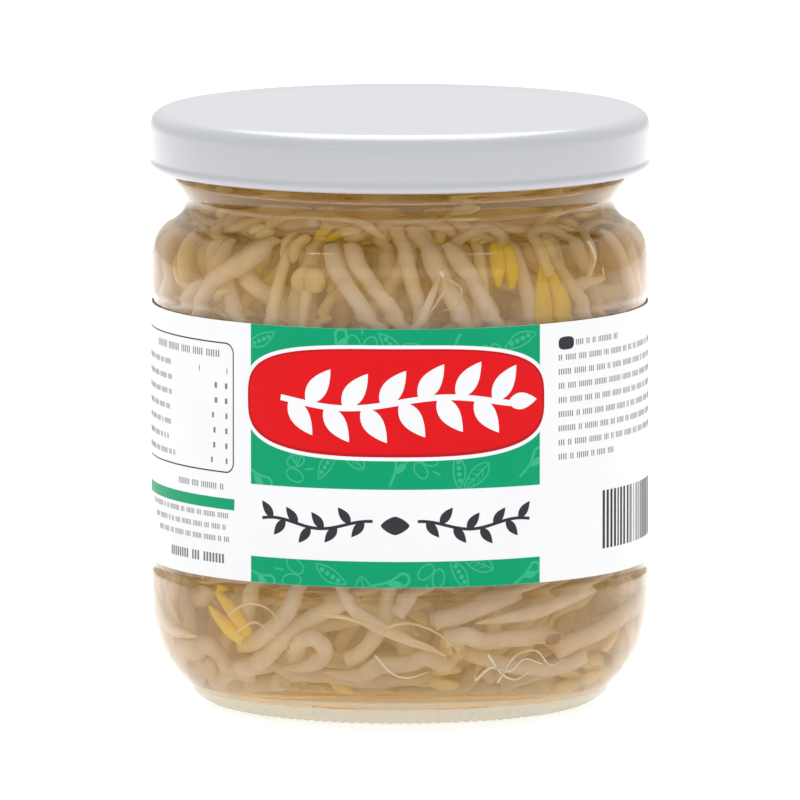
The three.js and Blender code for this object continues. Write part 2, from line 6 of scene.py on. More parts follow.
import bmesh
import bpy
import numpy as np
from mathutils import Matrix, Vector


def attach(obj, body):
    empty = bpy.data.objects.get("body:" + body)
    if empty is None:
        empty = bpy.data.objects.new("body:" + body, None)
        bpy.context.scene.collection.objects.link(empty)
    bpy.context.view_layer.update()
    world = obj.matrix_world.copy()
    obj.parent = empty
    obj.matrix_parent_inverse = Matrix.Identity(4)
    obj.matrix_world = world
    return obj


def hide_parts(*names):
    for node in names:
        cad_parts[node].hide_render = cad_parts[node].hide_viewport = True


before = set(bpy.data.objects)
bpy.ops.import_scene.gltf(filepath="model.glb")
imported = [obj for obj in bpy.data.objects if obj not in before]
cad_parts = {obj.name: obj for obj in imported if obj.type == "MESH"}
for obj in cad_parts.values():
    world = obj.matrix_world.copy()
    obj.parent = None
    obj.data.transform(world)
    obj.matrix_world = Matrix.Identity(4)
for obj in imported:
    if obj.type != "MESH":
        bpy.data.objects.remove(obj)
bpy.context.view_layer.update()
MM = 0.001

# Driving sizes of the glass, as in the solids
BODY_R = 40.3
PANEL_R = 39.75
PANEL_BOTTOM = 22.4
PANEL_TOP = 66.0
BODY_BOTTOM = 18.0
BODY_TOP = 70.5
BORE_R = 37.3
NECK_R = 34.6
NECK_BORE_R = 32.0
BEAD_R = 36.5
FINISH_R = 36.9
MOUTH_R = 33.8
RIM_Z = 94.4
RING_INNER_R = 26.5
RING_OUTER_R = 29.5
PUSH_UP = 2.2
FLOOR_Z = 5.6
GLASS_SIDES = 480
KNURLS = 120
KNURL_DEPTH = 0.34
KNURL_MIDDLE = 0.7
KNURL_TOP = 2.6

# Driving sizes of the cap, the label and the brine
LID_R = 40.3
LID_BOTTOM = 86.5
LID_TOP = 96.35
SHEET = 0.3
LUGS = 6
LUG_INNER_R = 37.4
LUG_BOTTOM = 87.2
LUG_HEIGHT = 1.1
LUG_WIDTH = 7.0
LUG_ROOT_R = 39.1
THREAD_RADIUS = 1.2
THREAD_CLEARANCE = 0.4
THREAD_START = -6.0
THREAD_END = 38.0
RISE_PER_DEGREE = 3 * math.pi / 180
LABEL_BOTTOM = 23.4
LABEL_TOP = 65.0
LABEL_HALF_ARC = 157.5
LABEL_R = 40.0
LABEL_THICKNESS = 0.15
BRINE_TOP = 87.0
BRINE_SINK = 0.03
LID_SIDES = 256
BRINE_SIDES = 240

# An outline isn't rounded where it bends by less than ten degrees, and points this close become one
GENTLE = math.cos(math.radians(10))
CLOSEST = 0.004


# Meshes

def add_object(name, mesh, material, body):
    mesh.materials.append(material)
    piece = bpy.data.objects.new(name, mesh)
    bpy.context.scene.collection.objects.link(piece)
    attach(piece, body)
    return piece


def make_piece(name, verts, faces, material, body, node, tints=None, sharp=50.0):
    """A piece from points in millimetres, smooth except along edges sharper than the given angle."""
    mesh = bpy.data.meshes.new(name)
    mesh.from_pydata((np.asarray(verts, float) * MM).tolist(), [], [list(map(int, face)) for face in faces])
    mesh.validate()
    mesh.polygons.foreach_set("use_smooth", [True] * len(mesh.polygons))
    mesh.set_sharp_from_angle(angle=math.radians(sharp))
    if tints is not None:
        layer = mesh.color_attributes.new("tint", "FLOAT_COLOR", "POINT")
        values = np.ones((len(mesh.vertices), 4), np.float32)
        values[:, :3] = tints
        layer.data.foreach_set("color", values.ravel())
    piece = add_object(name, mesh, material, body)
    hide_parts(node)
    return piece


def bezier(start, control, end, steps):
    """Points of a curve after its start."""
    share = np.linspace(0, 1, steps + 1)[1:, None]
    start, control, end = (np.array(p, float) for p in (start, control, end))
    points = (1 - share) ** 2 * start + 2 * share * (1 - share) * control + share ** 2 * end
    return [tuple(p) for p in points]


def rounded(outline, reach, steps):
    """Turns each corner of an open outline into a small curve, apart from gentle bends."""
    points = [np.array(p, float) for p in outline]
    result = [points[0]]
    for before, corner, after in zip(points, points[1:], points[2:]):
        back = before - corner
        on = after - corner
        straight = -float(back @ on) / max(1e-9, np.linalg.norm(back) * np.linalg.norm(on))
        if straight > GENTLE:
            result.append(corner)
            continue
        start = corner + back * min(0.5, reach / max(1e-6, np.linalg.norm(back)))
        end = corner + on * min(0.5, reach / max(1e-6, np.linalg.norm(on)))
        result.append(start)
        result += [np.array(p) for p in bezier(start, corner, end, steps)]
    result.append(points[-1])
    tidy = [result[0]]
    for point in result[1:]:
        if np.linalg.norm(point - tidy[-1]) > CLOSEST:
            tidy.append(point)
    return tidy


def lathe(outline, sides, shape=None):
    """Turns an outline in (radius, height) round the axis. Ends at radius 0 become single points."""
    outline = [(float(r), float(z)) for r, z in outline]
    turn = np.arange(sides) * 2 * math.pi / sides
    verts = []
    rings = []
    for r, z in outline:
        if r < 1e-6:
            rings.append([len(verts)])
            verts.append((0.0, 0.0, z))
            continue
        radii = np.full(sides, r)
        heights = np.full(sides, z)
        if shape is not None:
            radii, heights = shape(radii, heights, turn)
        rings.append(list(range(len(verts), len(verts) + sides)))
        verts.extend(zip(radii * np.sin(turn), -radii * np.cos(turn), heights))
    faces = []
    closed = rings[0] if len(rings[0]) > 1 and outline[0] == outline[-1] else None
    if closed:
        verts = verts[:-sides]
        rings[-1] = closed
    for low, high in zip(rings, rings[1:]):
        if len(low) == 1 and len(high) == 1:
            continue
        for i in range(sides):
            j = (i + 1) % sides
            if len(low) == 1:
                faces.append((low[0], high[j], high[i]))
            elif len(high) == 1:
                faces.append((low[i], low[j], high[0]))
            else:
                faces.append((low[i], low[j], high[j], high[i]))
    return np.array(verts), faces


# Materials

def new_material(name):
    material = bpy.data.materials.new(name)
    material.use_nodes = True
    nodes = material.node_tree.nodes
    return material, nodes, material.node_tree.links, nodes["Principled BSDF"]


def noise_node(nodes, links, scale, detail):
    """Noise over the object's own coordinates, in metres."""
    place = nodes.new("ShaderNodeTexCoord")
    noise = nodes.new("ShaderNodeTexNoise")
    noise.inputs["Scale"].default_value = scale
    noise.inputs["Detail"].default_value = detail
    links.new(place.outputs["Object"], noise.inputs["Vector"])
    return noise.outputs["Fac"]


def bump_from(nodes, links, shader, height, strength, distance):
    """Raises a surface by a height output."""
    bump = nodes.new("ShaderNodeBump")
    bump.inputs["Strength"].default_value = strength
    bump.inputs["Distance"].default_value = distance
    links.new(height, bump.inputs["Height"])
    links.new(bump.outputs["Normal"], shader.inputs["Normal"])


def let_lamps_through(nodes, links, body, colour=(1, 1, 1)):
    """Lets lamps shine through a material in a colour, which doesn't change how its surface looks."""
    passing = nodes.new("ShaderNodeBsdfTransparent")
    passing.inputs["Color"].default_value = (*colour, 1)
    path = nodes.new("ShaderNodeLightPath")
    mix = nodes.new("ShaderNodeMixShader")
    links.new(path.outputs["Is Shadow Ray"], mix.inputs["Fac"])
    links.new(body, mix.inputs[1])
    links.new(passing.outputs["BSDF"], mix.inputs[2])
    links.new(mix.outputs["Shader"], nodes["Material Output"].inputs["Surface"])


def clear_material(name, colour, ior, gleam, roughness=0.0, frost=0.0, haze=None, absorbed=None, density=0.0):
    """A clear body that lets lamps through. It may be frosted or hazy, or take up colours over its depth."""
    material, nodes, links, shader = new_material(name)
    shader.inputs["Base Color"].default_value = (*colour, 1)
    shader.inputs["Roughness"].default_value = roughness
    shader.inputs["IOR"].default_value = ior
    shader.inputs["Transmission Weight"].default_value = 1.0
    shader.inputs["Specular Tint"].default_value = (gleam, gleam, gleam, 1)
    body = shader.outputs["BSDF"]
    if frost:
        scatter = nodes.new("ShaderNodeBsdfDiffuse" if haze else "ShaderNodeBsdfTranslucent")
        scatter.inputs["Color"].default_value = (*(haze or colour), 1)
        frosted = nodes.new("ShaderNodeMixShader")
        frosted.inputs["Fac"].default_value = frost
        links.new(body, frosted.inputs[1])
        links.new(scatter.outputs["BSDF"], frosted.inputs[2])
        body = frosted.outputs["Shader"]
    let_lamps_through(nodes, links, body)
    if absorbed:
        volume = nodes.new("ShaderNodeVolumeAbsorption")
        volume.inputs["Color"].default_value = (*absorbed, 1)
        volume.inputs["Density"].default_value = density
        links.new(volume.outputs["Volume"], nodes["Material Output"].inputs["Volume"])
    return material


def patchy_material(name, colour, patches, tones, roughness, gloss, seen=(0.0, 1.0)):
    """A material in one colour, or in its piece's own tint, with soft patches between two tones."""
    material, nodes, links, shader = new_material(name)
    ramp = nodes.new("ShaderNodeMapRange")
    for label, value in zip(("From Min", "From Max", "To Min", "To Max"), (*seen, *tones)):
        ramp.inputs[label].default_value = value
    links.new(noise_node(nodes, links, *patches), ramp.inputs["Value"])
    scale = nodes.new("ShaderNodeVectorMath")
    scale.operation = "SCALE"
    if colour:
        scale.inputs[0].default_value = colour
    else:
        tint = nodes.new("ShaderNodeAttribute")
        tint.attribute_name = "tint"
        links.new(tint.outputs["Color"], scale.inputs[0])
    links.new(ramp.outputs["Result"], scale.inputs["Scale"])
    links.new(scale.outputs["Vector"], shader.inputs["Base Color"])
    shader.inputs["Roughness"].default_value = roughness
    shader.inputs["Specular IOR Level"].default_value = gloss
    return material, nodes, links, shader


def print_material(name, colour):
    """Ink on coated paper: an even colour with a little uneven ink and a fine paper grain."""
    material, nodes, links, shader = patchy_material(name, colour, (90.0, 4.0), (0.965, 1.035), 0.45, 0.1)
    bump_from(nodes, links, shader, noise_node(nodes, links, 3500.0, 2.0), 0.06, 0.00004)
    return material


def lacquer_material():
    """Glossy white lacquer on thin steel, with a faint orange peel."""
    material, nodes, links, shader = patchy_material(
        "white_lacquer", (0.405, 0.415, 0.44), (35.0, 3.0), (0.98, 1.02), 0.32, 0.4
    )
    shader.inputs["Coat Weight"].default_value = 0.35
    shader.inputs["Coat Roughness"].default_value = 0.12
    bump_from(nodes, links, shader, noise_node(nodes, links, 420.0, 2.0), 0.05, 0.0001)
    return material


def liner_material():
    """Soft pale sealing compound."""
    material, nodes, links, shader = new_material("sealing_compound")
    cloud = noise_node(nodes, links, 200.0, 3.0)
    ramp = nodes.new("ShaderNodeValToRGB")
    ramp.color_ramp.elements[0].color = (0.72, 0.69, 0.6, 1)
    ramp.color_ramp.elements[1].color = (0.82, 0.79, 0.7, 1)
    links.new(cloud, ramp.inputs["Fac"])
    links.new(ramp.outputs["Color"], shader.inputs["Base Color"])
    shader.inputs["Roughness"].default_value = 0.6
    bump_from(nodes, links, shader, cloud, 0.2, 0.0002)
    return material


def sprout_material():
    """Moist, slightly see-through plant flesh, coloured by its tint, with faint patches and pits."""
    material, nodes, links, shader = patchy_material(
        "sprout_flesh", None, (330.0, 1.5), (0.9, 1.07), 0.5, 0.12, (0.3, 0.7)
    )
    shader.inputs["Subsurface Weight"].default_value = 0.8
    shader.inputs["Subsurface Radius"].default_value = (1.0, 0.88, 0.7)
    shader.inputs["Subsurface Scale"].default_value = 0.0016
    bump_from(nodes, links, shader, noise_node(nodes, links, 600.0, 0.5), 0.06, 0.0001)
    let_lamps_through(nodes, links, shader.outputs["BSDF"], (0.88, 0.83, 0.74))
    return material


def floor_material():
    """A matt pale floor with a slight unevenness of tone, lit from within as a light table is."""
    material, nodes, links, shader = patchy_material(
        "pale_floor", (0.7, 0.7, 0.7), (6.0, 2.0), (0.995, 1.005), 0.8, 0.1
    )
    shader.inputs["Emission Color"].default_value = (1, 1, 1, 1)
    shader.inputs["Emission Strength"].default_value = 0.58
    return material


# A wall that is wetted on its other side hardly gleams
GLASS = clear_material("flint_glass", (0.88, 0.885, 0.88), 1.5, 1.0)
WET_GLASS = clear_material("wet_flint_glass", (0.88, 0.885, 0.88), 1.5, 0.08)
STIPPLED_GLASS = clear_material("stippled_flint_glass", (0.93, 0.98, 0.92), 1.5, 1.0, 0.6, 0.8)
KNURLED_GLASS = clear_material(
    "knurled_flint_glass", (0.95, 0.98, 0.93), 1.5, 1.0, 0.08, 0.4, haze=(0.62, 0.71, 0.68)
)
BRINE = clear_material(
    "brine", (1, 0.95, 0.88), 1.33, 0.15, 0.0, 0.25,
    haze=(1, 0.5, 0.05), absorbed=(0.9, 0.79, 0.5), density=75.0
)
LACQUER = lacquer_material()
LINER = liner_material()
FLESH = sprout_material()
PAPER = print_material("label_paper", (0.73, 0.735, 0.745))
GREEN = print_material("green_ink", (0.0, 0.28, 0.125))
LEAF_GREEN = print_material("light_green_ink", (0.035, 0.37, 0.2))
RED = print_material("red_ink", (0.6, 0.004, 0.007))
DEEP_RED = print_material("deep_red_ink", (0.42, 0.004, 0.008))
WHITE = print_material("white_ink", (0.73, 0.735, 0.745))
BLACK = print_material("black_ink", (0.03, 0.03, 0.035))
GREY = print_material("grey_ink", (0.16, 0.16, 0.17))


# The glass jar

def hollow(grow, top):
    """The hollow of the jar from the middle of its floor up, grown outwards by a small amount."""
    steps = 12
    return [
        (0, FLOOR_Z - grow),
        (13, FLOOR_Z - 0.25 - grow),
        (26, FLOOR_Z - 0.8 - grow),
        *bezier((26, FLOOR_Z - 0.8 - grow), (36 + grow, FLOOR_Z - 0.6 - grow), (BORE_R + grow, 14.5), steps),
        (BORE_R + grow, BODY_TOP - 1),
        *bezier((BORE_R + grow, BODY_TOP - 1), (BORE_R + grow, 74.6), (34.6 + grow, 76.6), steps),
        *bezier((34.6 + grow, 76.6), (NECK_BORE_R + grow, 78.4), (NECK_BORE_R + grow, 82), steps),
        (NECK_BORE_R + grow, top),
    ]


def glass_outline():
    outside = [
        (0, PUSH_UP),
        (12, PUSH_UP - 0.15),
        (24, PUSH_UP - 0.6),
        (RING_INNER_R, 0),
        (28, 0),
        (RING_OUTER_R, 0),
        *bezier((RING_OUTER_R, 0), (33, 0.6), (34.3, 3.4), 10),
        *bezier((34.3, 3.4), (BODY_R, 8.6), (BODY_R, BODY_BOTTOM), 14),
        (BODY_R, PANEL_BOTTOM - 0.9),
        (PANEL_R, PANEL_BOTTOM),
        (PANEL_R, PANEL_TOP),
        (BODY_R, PANEL_TOP + 0.9),
        (BODY_R, BODY_TOP),
        *bezier((BODY_R, BODY_TOP), (BODY_R, 76), (37.3, 77.6), 12),
        *bezier((37.3, 77.6), (NECK_R, 79), (NECK_R, 81.8), 10),
        (BEAD_R - 0.3, 84.3),
        (BEAD_R, 85),
        (BEAD_R - 0.5, 85.8),
        (BEAD_R - 0.6, 87),
        (FINISH_R, 88),
    ]
    finish = [(FINISH_R, 88 + 0.4 * i) for i in range(1, 14)]
    mouth = [
        (FINISH_R, RIM_Z - 0.7),
        (FINISH_R - 0.8, RIM_Z),
        (MOUTH_R + 0.6, RIM_Z),
        (MOUTH_R, RIM_Z - 0.5),
        (MOUTH_R, 89),
    ]
    inside = hollow(0, 86.5)[::-1]
    return rounded(outside, 0.6, 3) + finish + rounded(mouth + inside, 0.7, 3)


def glass_shape(radii, heights, turn):
    """Sloped thread ridges on the mouth, and fine knurls round the standing ring."""
    if radii[0] > FINISH_R - 0.01 and heights[0] > 88.05:
        lowest = LUG_BOTTOM + LUG_HEIGHT + THREAD_CLEARANCE + THREAD_RADIUS
        # The turn is counted from +X, anticlockwise from above
        around = np.degrees(turn) - 90
        for i in range(LUGS):
            along = (around - i * 360 / LUGS + 180) % 360 - 180
            inside = np.clip(along, THREAD_START, THREAD_END)
            past_end = (along - inside) * math.pi / 180 * FINISH_R
            off = np.hypot(heights - lowest - RISE_PER_DEGREE * inside, past_end)
            radii = np.maximum(radii, FINISH_R + np.sqrt(np.maximum(0, THREAD_RADIUS ** 2 - off ** 2)))
    if RING_OUTER_R - 1.2 < radii[0] and heights[0] < KNURL_TOP:
        fade = 1 - abs(heights[0] - KNURL_MIDDLE) / (KNURL_TOP - KNURL_MIDDLE)
        groove = KNURL_DEPTH * max(0.0, fade) * (0.5 - 0.5 * np.cos(KNURLS * turn))
        radii = radii - groove * (heights[0] > 0.001)
        heights = heights + 0.5 * groove
    return radii, heights


def make_glass():
    outline = glass_outline()
    verts, faces = lathe(outline, GLASS_SIDES, glass_shape)
    piece = make_piece("glass_jar", verts, faces, GLASS, "jar", "jar_glass")
    for material in (WET_GLASS, STIPPLED_GLASS, KNURLED_GLASS):
        piece.data.materials.append(material)
    plain, wet, stippled, knurled = range(4)
    mouth = max(i for i, (r, z) in enumerate(outline) if z > RIM_Z - 0.01)
    ring = min(i for i, (r, z) in enumerate(outline) if r > RING_OUTER_R - 0.7)
    finish = []
    for i, (r, z) in enumerate(outline[:-1]):
        if i > mouth and z < BRINE_TOP:
            finish.append(wet)
        elif i < ring:
            finish.append(stippled)
        else:
            finish.append(knurled if z < KNURL_TOP else plain)
    polygons = piece.data.polygons
    polygons.foreach_set("material_index", np.repeat(finish, GLASS_SIDES)[:len(polygons)])


def make_brine():
    outline = hollow(BRINE_SINK, BRINE_TOP - 0.3)
    outline = rounded(outline, 0.7, 3) + [
        (NECK_BORE_R + BRINE_SINK, BRINE_TOP),
        (NECK_BORE_R - 0.6, BRINE_TOP - 0.25),
        (NECK_BORE_R - 1.6, BRINE_TOP - 0.45),
        (0, BRINE_TOP - 0.5),
    ]
    verts, faces = lathe(outline, BRINE_SIDES)
    make_piece("brine_fill", verts, faces, BRINE, "jar", "brine")


# The cap

def lid_outline():
    inner = LID_R - SHEET
    outside = [
        (LID_R - 1.8, LID_BOTTOM + 1.3),
        (LID_R - 1.8, LID_BOTTOM + 0.4),
        (LID_R - 1.3, LID_BOTTOM),
        (LID_R - 0.4, LID_BOTTOM + 0.1),
        (LID_R, LID_BOTTOM + 0.7),
        (LID_R, LID_BOTTOM + 1.2),
        (LID_R - 0.18, LID_BOTTOM + 1.7),
        (LID_R - 0.12, LID_BOTTOM + 2.6),
        (LID_R, LID_TOP - 3.2),
        *bezier((LID_R, LID_TOP - 3.2), (LID_R, LID_TOP - 0.75), (LID_R - 2.4, LID_TOP - 0.28), 12),
        (LID_R - 4.6, LID_TOP - 0.2),
        (33.6, LID_TOP - 0.16),
        (32.5, LID_TOP),
        (30, LID_TOP),
        (0, LID_TOP),
    ]
    inside = [
        (0, LID_TOP - SHEET),
        (32.5, LID_TOP - SHEET),
        (38.2, LID_TOP - 0.45 - SHEET),
        (inner - 0.5, LID_TOP - 1.6),
        (inner - 0.1, LID_TOP - 3.0),
        (inner - 0.25, LID_BOTTOM + 2.2),
        (inner - 0.9, LID_BOTTOM + 1.9),
        (LID_R - 1.8, LID_BOTTOM + 1.3),
    ]
    return rounded(outside, 0.7, 4) + rounded(inside, 0.5, 3)


def make_lid():
    verts, faces = lathe(lid_outline(), LID_SIDES)
    verts = list(map(tuple, verts))
    # Six lugs pressed inwards out of the curl, each a flat tongue with rounded ends
    reach = LUG_ROOT_R - LUG_INNER_R
    half = LUG_WIDTH / 2
    for i in range(LUGS):
        start = len(verts)
        angle = math.radians(i * 360 / LUGS)
        steps = 8
        for height in (LUG_BOTTOM, LUG_BOTTOM + LUG_HEIGHT):
            for step in range(steps + 1):
                across = half * (2 * step / steps - 1)
                pull = 0.5 * (abs(across) / half) ** 4
                for depth in (LUG_INNER_R + pull, LUG_INNER_R + reach):
                    x = depth * math.cos(angle) - across * math.sin(angle)
                    y = depth * math.sin(angle) + across * math.cos(angle)
                    verts.append((x, y, height))
        row = 2 * (steps + 1)
        for step in range(steps):
            a = start + 2 * step
            faces.append((a, a + 1, a + 3, a + 2))
            faces.append((a + row, a + row + 2, a + row + 3, a + row + 1))
            faces.append((a, a + 2, a + row + 2, a + row))
            faces.append((a + 1, a + row + 1, a + row + 3, a + 3))
        end = start + 2 * steps
        faces.append((start, start + row, start + row + 1, start + 1))
        faces.append((end, end + 1, end + row + 1, end + row))
    make_piece("lid_shell", verts, faces, LACQUER, "lid", "lid")


# The label and its print

def on_label(u, v, lift):
    """A place on the label: u along it to the right of the front, v its height, lift over the paper."""
    r = LABEL_R + LABEL_THICKNESS + lift
    angle = u / (LABEL_R + LABEL_THICKNESS)
    return r * math.sin(angle), -r * math.cos(angle), v


def around(degrees_right):
    """The distance along the label at an angle to the right of the front."""
    return math.radians(degrees_right) * (LABEL_R + LABEL_THICKNESS)


def make_label():
    corners = 1.2
    columns = 420
    outline_r = (LABEL_R, LABEL_R + LABEL_THICKNESS)
    rows = 6
    verts = []
    for r in outline_r:
        for i in range(columns + 1):
            angle = math.radians(LABEL_HALF_ARC * (2 * i / columns - 1))
            from_end = min(i, columns - i) / columns * 2 * math.radians(LABEL_HALF_ARC) * LABEL_R
            cut = corners - math.sqrt(max(0, corners ** 2 - max(0, corners - from_end) ** 2))
            for row in range(rows + 1):
                z = LABEL_BOTTOM + cut + (LABEL_TOP - LABEL_BOTTOM - 2 * cut) * row / rows
                verts.append((r * math.sin(angle), -r * math.cos(angle), z))
    layer = (columns + 1) * (rows + 1)
    faces = []
    for i in range(columns):
        for row in range(rows):
            a = i * (rows + 1) + row
            b = a + rows + 1
            faces.append((a, a + 1, b + 1, b))
            faces.append((layer + a, layer + b, layer + b + 1, layer + a + 1))
        for row, flip in ((0, False), (rows, True)):
            a = i * (rows + 1) + row
            b = a + rows + 1
            face = (a, b, layer + b, layer + a)
            faces.append(face[::-1] if flip else face)
    for i, flip in ((0, True), (columns, False)):
        for row in range(rows):
            a = i * (rows + 1) + row
            face = (a, a + 1, layer + a + 1, layer + a)
            faces.append(face[::-1] if flip else face)
    make_piece("label_sheet", verts, faces, PAPER, "jar", "label")


def printed(name, shapes, lift, material, clip=None, narrow=False):
    """A thin closed layer of print on the label, from flat outlines. Narrow ones need no bending."""
    flat = bmesh.new()
    for outline in shapes:
        corners = [flat.verts.new((u, v, 0)) for u, v in outline]
        flat.faces.new(corners)
    bmesh.ops.triangulate(flat, faces=flat.faces[:])

    def cut(at, axis, keep=0):
        place = Vector((at, 0, 0)) if axis == 0 else Vector((0, at, 0))
        normal = Vector((1, 0, 0)) if axis == 0 else Vector((0, 1, 0))
        bmesh.ops.bisect_plane(
            flat,
            geom=flat.verts[:] + flat.edges[:] + flat.faces[:],
            plane_co=place,
            plane_no=normal,
            clear_outer=keep < 0,
            clear_inner=keep > 0,
        )

    if clip:
        cut(clip[0], 0, 1)
        cut(clip[1], 1, 1)
        cut(clip[2], 0, -1)
        cut(clip[3], 1, -1)
    left = min(vert.co.x for vert in flat.verts)
    right = max(vert.co.x for vert in flat.verts)
    step = 1.0
    at = math.ceil(left / step) * step
    while at < right and not narrow:
        cut(at, 0)
        at += step
    raised = bmesh.ops.extrude_face_region(flat, geom=flat.faces[:], use_keep_orig=True)
    for item in raised["geom"]:
        if isinstance(item, bmesh.types.BMVert):
            item.co.z = PRINT_THICKNESS
    bmesh.ops.recalc_face_normals(flat, faces=flat.faces[:])
    for vert in flat.verts:
        vert.co = Vector(on_label(vert.co.x, vert.co.y, lift + vert.co.z)) * MM
    mesh = bpy.data.meshes.new(name)
    flat.to_mesh(mesh)
    flat.free()
    add_object(name, mesh, material, "jar")


def rectangle(u0, v0, u1, v1):
    return [(u0, v0), (u1, v0), (u1, v1), (u0, v1)]


def turned_line(u, v, turn, points):
    """Flat points turned and then moved to a place."""
    c, s = math.cos(turn), math.sin(turn)
    return [(u + x * c - y * s, v + x * s + y * c) for x, y in points]


def oval(u, v, a, b, power=2.0, steps=96, turn=0.0):
    """An ellipse, or with a higher power a squarer lozenge."""
    points = []
    for i in range(steps):
        angle = 2 * math.pi * i / steps
        c, s = math.cos(angle), math.sin(angle)
        x = a * math.copysign(abs(c) ** (2 / power), c)
        y = b * math.copysign(abs(s) ** (2 / power), s)
        points.append((x, y))
    return turned_line(u, v, turn, points)


def stroke(points, width):
    """A line of even width, as quads that share their corners."""
    half = width / 2
    sides = []
    for i, (u, v) in enumerate(points):
        before = points[max(0, i - 1)]
        after = points[min(len(points) - 1, i + 1)]
        du, dv = after[0] - before[0], after[1] - before[1]
        size = math.hypot(du, dv) or 1.0
        across = (dv / size * half, du / size * half)
        sides.append(((u - across[0], v + across[1]), (u + across[0], v - across[1])))
    return [[a[0], a[1], b[1], b[0]] for a, b in zip(sides, sides[1:])]


def leaf(u, v, length, width, turn, steps=12):
    """A pointed leaf from its stalk end."""
    upper = []
    lower = []
    for i in range(steps + 1):
        share = i / steps
        half = width / 2 * math.sin(math.pi * share ** 0.8) ** 0.9
        upper.append((length * share, half))
        lower.append((length * share, -half))
    return turned_line(u, v, turn, upper + lower[-2:0:-1])


def motif(kind, u, v, size, turn):
    """One small line drawing: a sprout with a curled head, a leaf with veins, a pod or a pair of seeds."""
    shapes = []
    if kind == 0:
        line = [(0.12 * size * math.sin(3 * t), size * (t - 0.5)) for t in np.linspace(0, 0.8, 9)]
        hook = [(0.16 * size * (1 - math.cos(a)) + line[-1][0], line[-1][1] + 0.16 * size * math.sin(a))
                for a in np.linspace(0.2, 3.6, 9)]
        shapes += stroke(turned_line(u, v, turn, line + hook), 0.42)
        shapes.append(leaf(*turned_line(u, v, turn, [hook[-1]])[0], 0.45 * size, 0.2 * size, turn - 2.2))
    elif kind == 1:
        outline = leaf(0, 0, size, 0.42 * size, 0)
        shapes += stroke(turned_line(u, v, turn, outline + outline[:1]), 0.26)
        shapes += stroke(turned_line(u, v, turn, [(0, 0), (0.9 * size, 0)]), 0.22)
        for share in (0.25, 0.42, 0.6):
            for side in (-1, 1):
                vein = [(share * size, 0), ((share + 0.14) * size, side * 0.13 * size)]
                shapes += stroke(turned_line(u, v, turn, vein), 0.16)
    elif kind == 2:
        arc = [(size * (t - 0.5), 0.22 * size * math.sin(math.pi * t)) for t in np.linspace(0, 1, 12)]
        low = [(size * (t - 0.5), -0.12 * size * math.sin(math.pi * t)) for t in np.linspace(1, 0, 12)]
        shapes += stroke(turned_line(u, v, turn, arc + low[1:]), 0.26)
        for place in (-0.26, -0.09, 0.08, 0.25):
            centre = turned_line(u, v, turn, [(place * size, 0.045 * size)])[0]
            shapes.append(oval(*centre, 0.065 * size, 0.065 * size, steps=14))
    else:
        for side in (-1, 1):
            centre = turned_line(u, v, turn, [(side * 0.2 * size, 0)])[0]
            ring = oval(*centre, 0.17 * size, 0.27 * size, steps=20, turn=turn + side * 0.35)
            shapes += stroke(ring + ring[:1], 0.26)
        shapes += stroke(turned_line(u, v, turn, [(0, -0.3 * size), (0.04 * size, -0.55 * size)]), 0.3)
    return shapes


def words(u0, u1, v, height, random, ragged=0.0, weight=0.22):
    """A line of plain ticks in groups, which stands for small print and spells nothing."""
    shapes = []
    u = u0
    end = u1 - ragged * random()
    pitch = 0.5 * height
    while u < end - 2 * pitch:
        count = min(int((end - u) / pitch), 2 + int(7 * random()))
        for i in range(count):
            left = u + i * pitch
            shapes.append(rectangle(left, v - height / 2, left + weight * height, v + height / 2))
        u += (count + 1.2) * pitch
    return shapes


GREEN_LEFT = around(-36.4)
GREEN_RIGHT = around(33.8)
STRIP_TOP = 39.2
STRIP_BOTTOM = 27.6
BADGE_U = around(-1.1)
BADGE_V = 53.1
PRINT_SEED = 7
PRINT_THICKNESS = 0.012

# How far each layer of print stands off the paper
INK_LIFT = 0.004
MOTIF_LIFT = 0.018
RIM_LIFT = 0.034
SHADE_LIFT = 0.05
BADGE_LIFT = 0.066
SPRIG_LIFT = 0.082
STEM_LIFT = 0.092


def print_panel(random):
    """The green panel above and below the white strip, with faint line drawings on it."""
    lower_green = rectangle(GREEN_LEFT, LABEL_BOTTOM + 0.02, GREEN_RIGHT, STRIP_BOTTOM)
    upper_green = rectangle(GREEN_LEFT, STRIP_TOP, GREEN_RIGHT, LABEL_TOP - 0.02)
    printed("print_green", [lower_green, upper_green], INK_LIFT, GREEN)
    columns = 9
    width = GREEN_RIGHT - GREEN_LEFT
    bands = (("upper", STRIP_TOP, LABEL_TOP, 4), ("lower", LABEL_BOTTOM, STRIP_BOTTOM, 1))
    for name, low, high, rows in bands:
        shapes = []
        for row in range(rows):
            for column in range(columns):
                u = GREEN_LEFT + width * (column + 0.5 + 0.4 * (random() - 0.5)) / columns
                v = low + (high - low) * (row + 0.5 + 0.3 * (random() - 0.5)) / rows
                kind = (row * 2 + column * 3) % 4
                shapes += motif(kind, u, v, 5.2 + 1.2 * random(), 2 * math.pi * random())
        clip = (GREEN_LEFT + 0.05, low + 0.05, GREEN_RIGHT - 0.05, high - 0.05)
        printed("print_motifs_" + name, shapes, MOTIF_LIFT, LEAF_GREEN, clip)


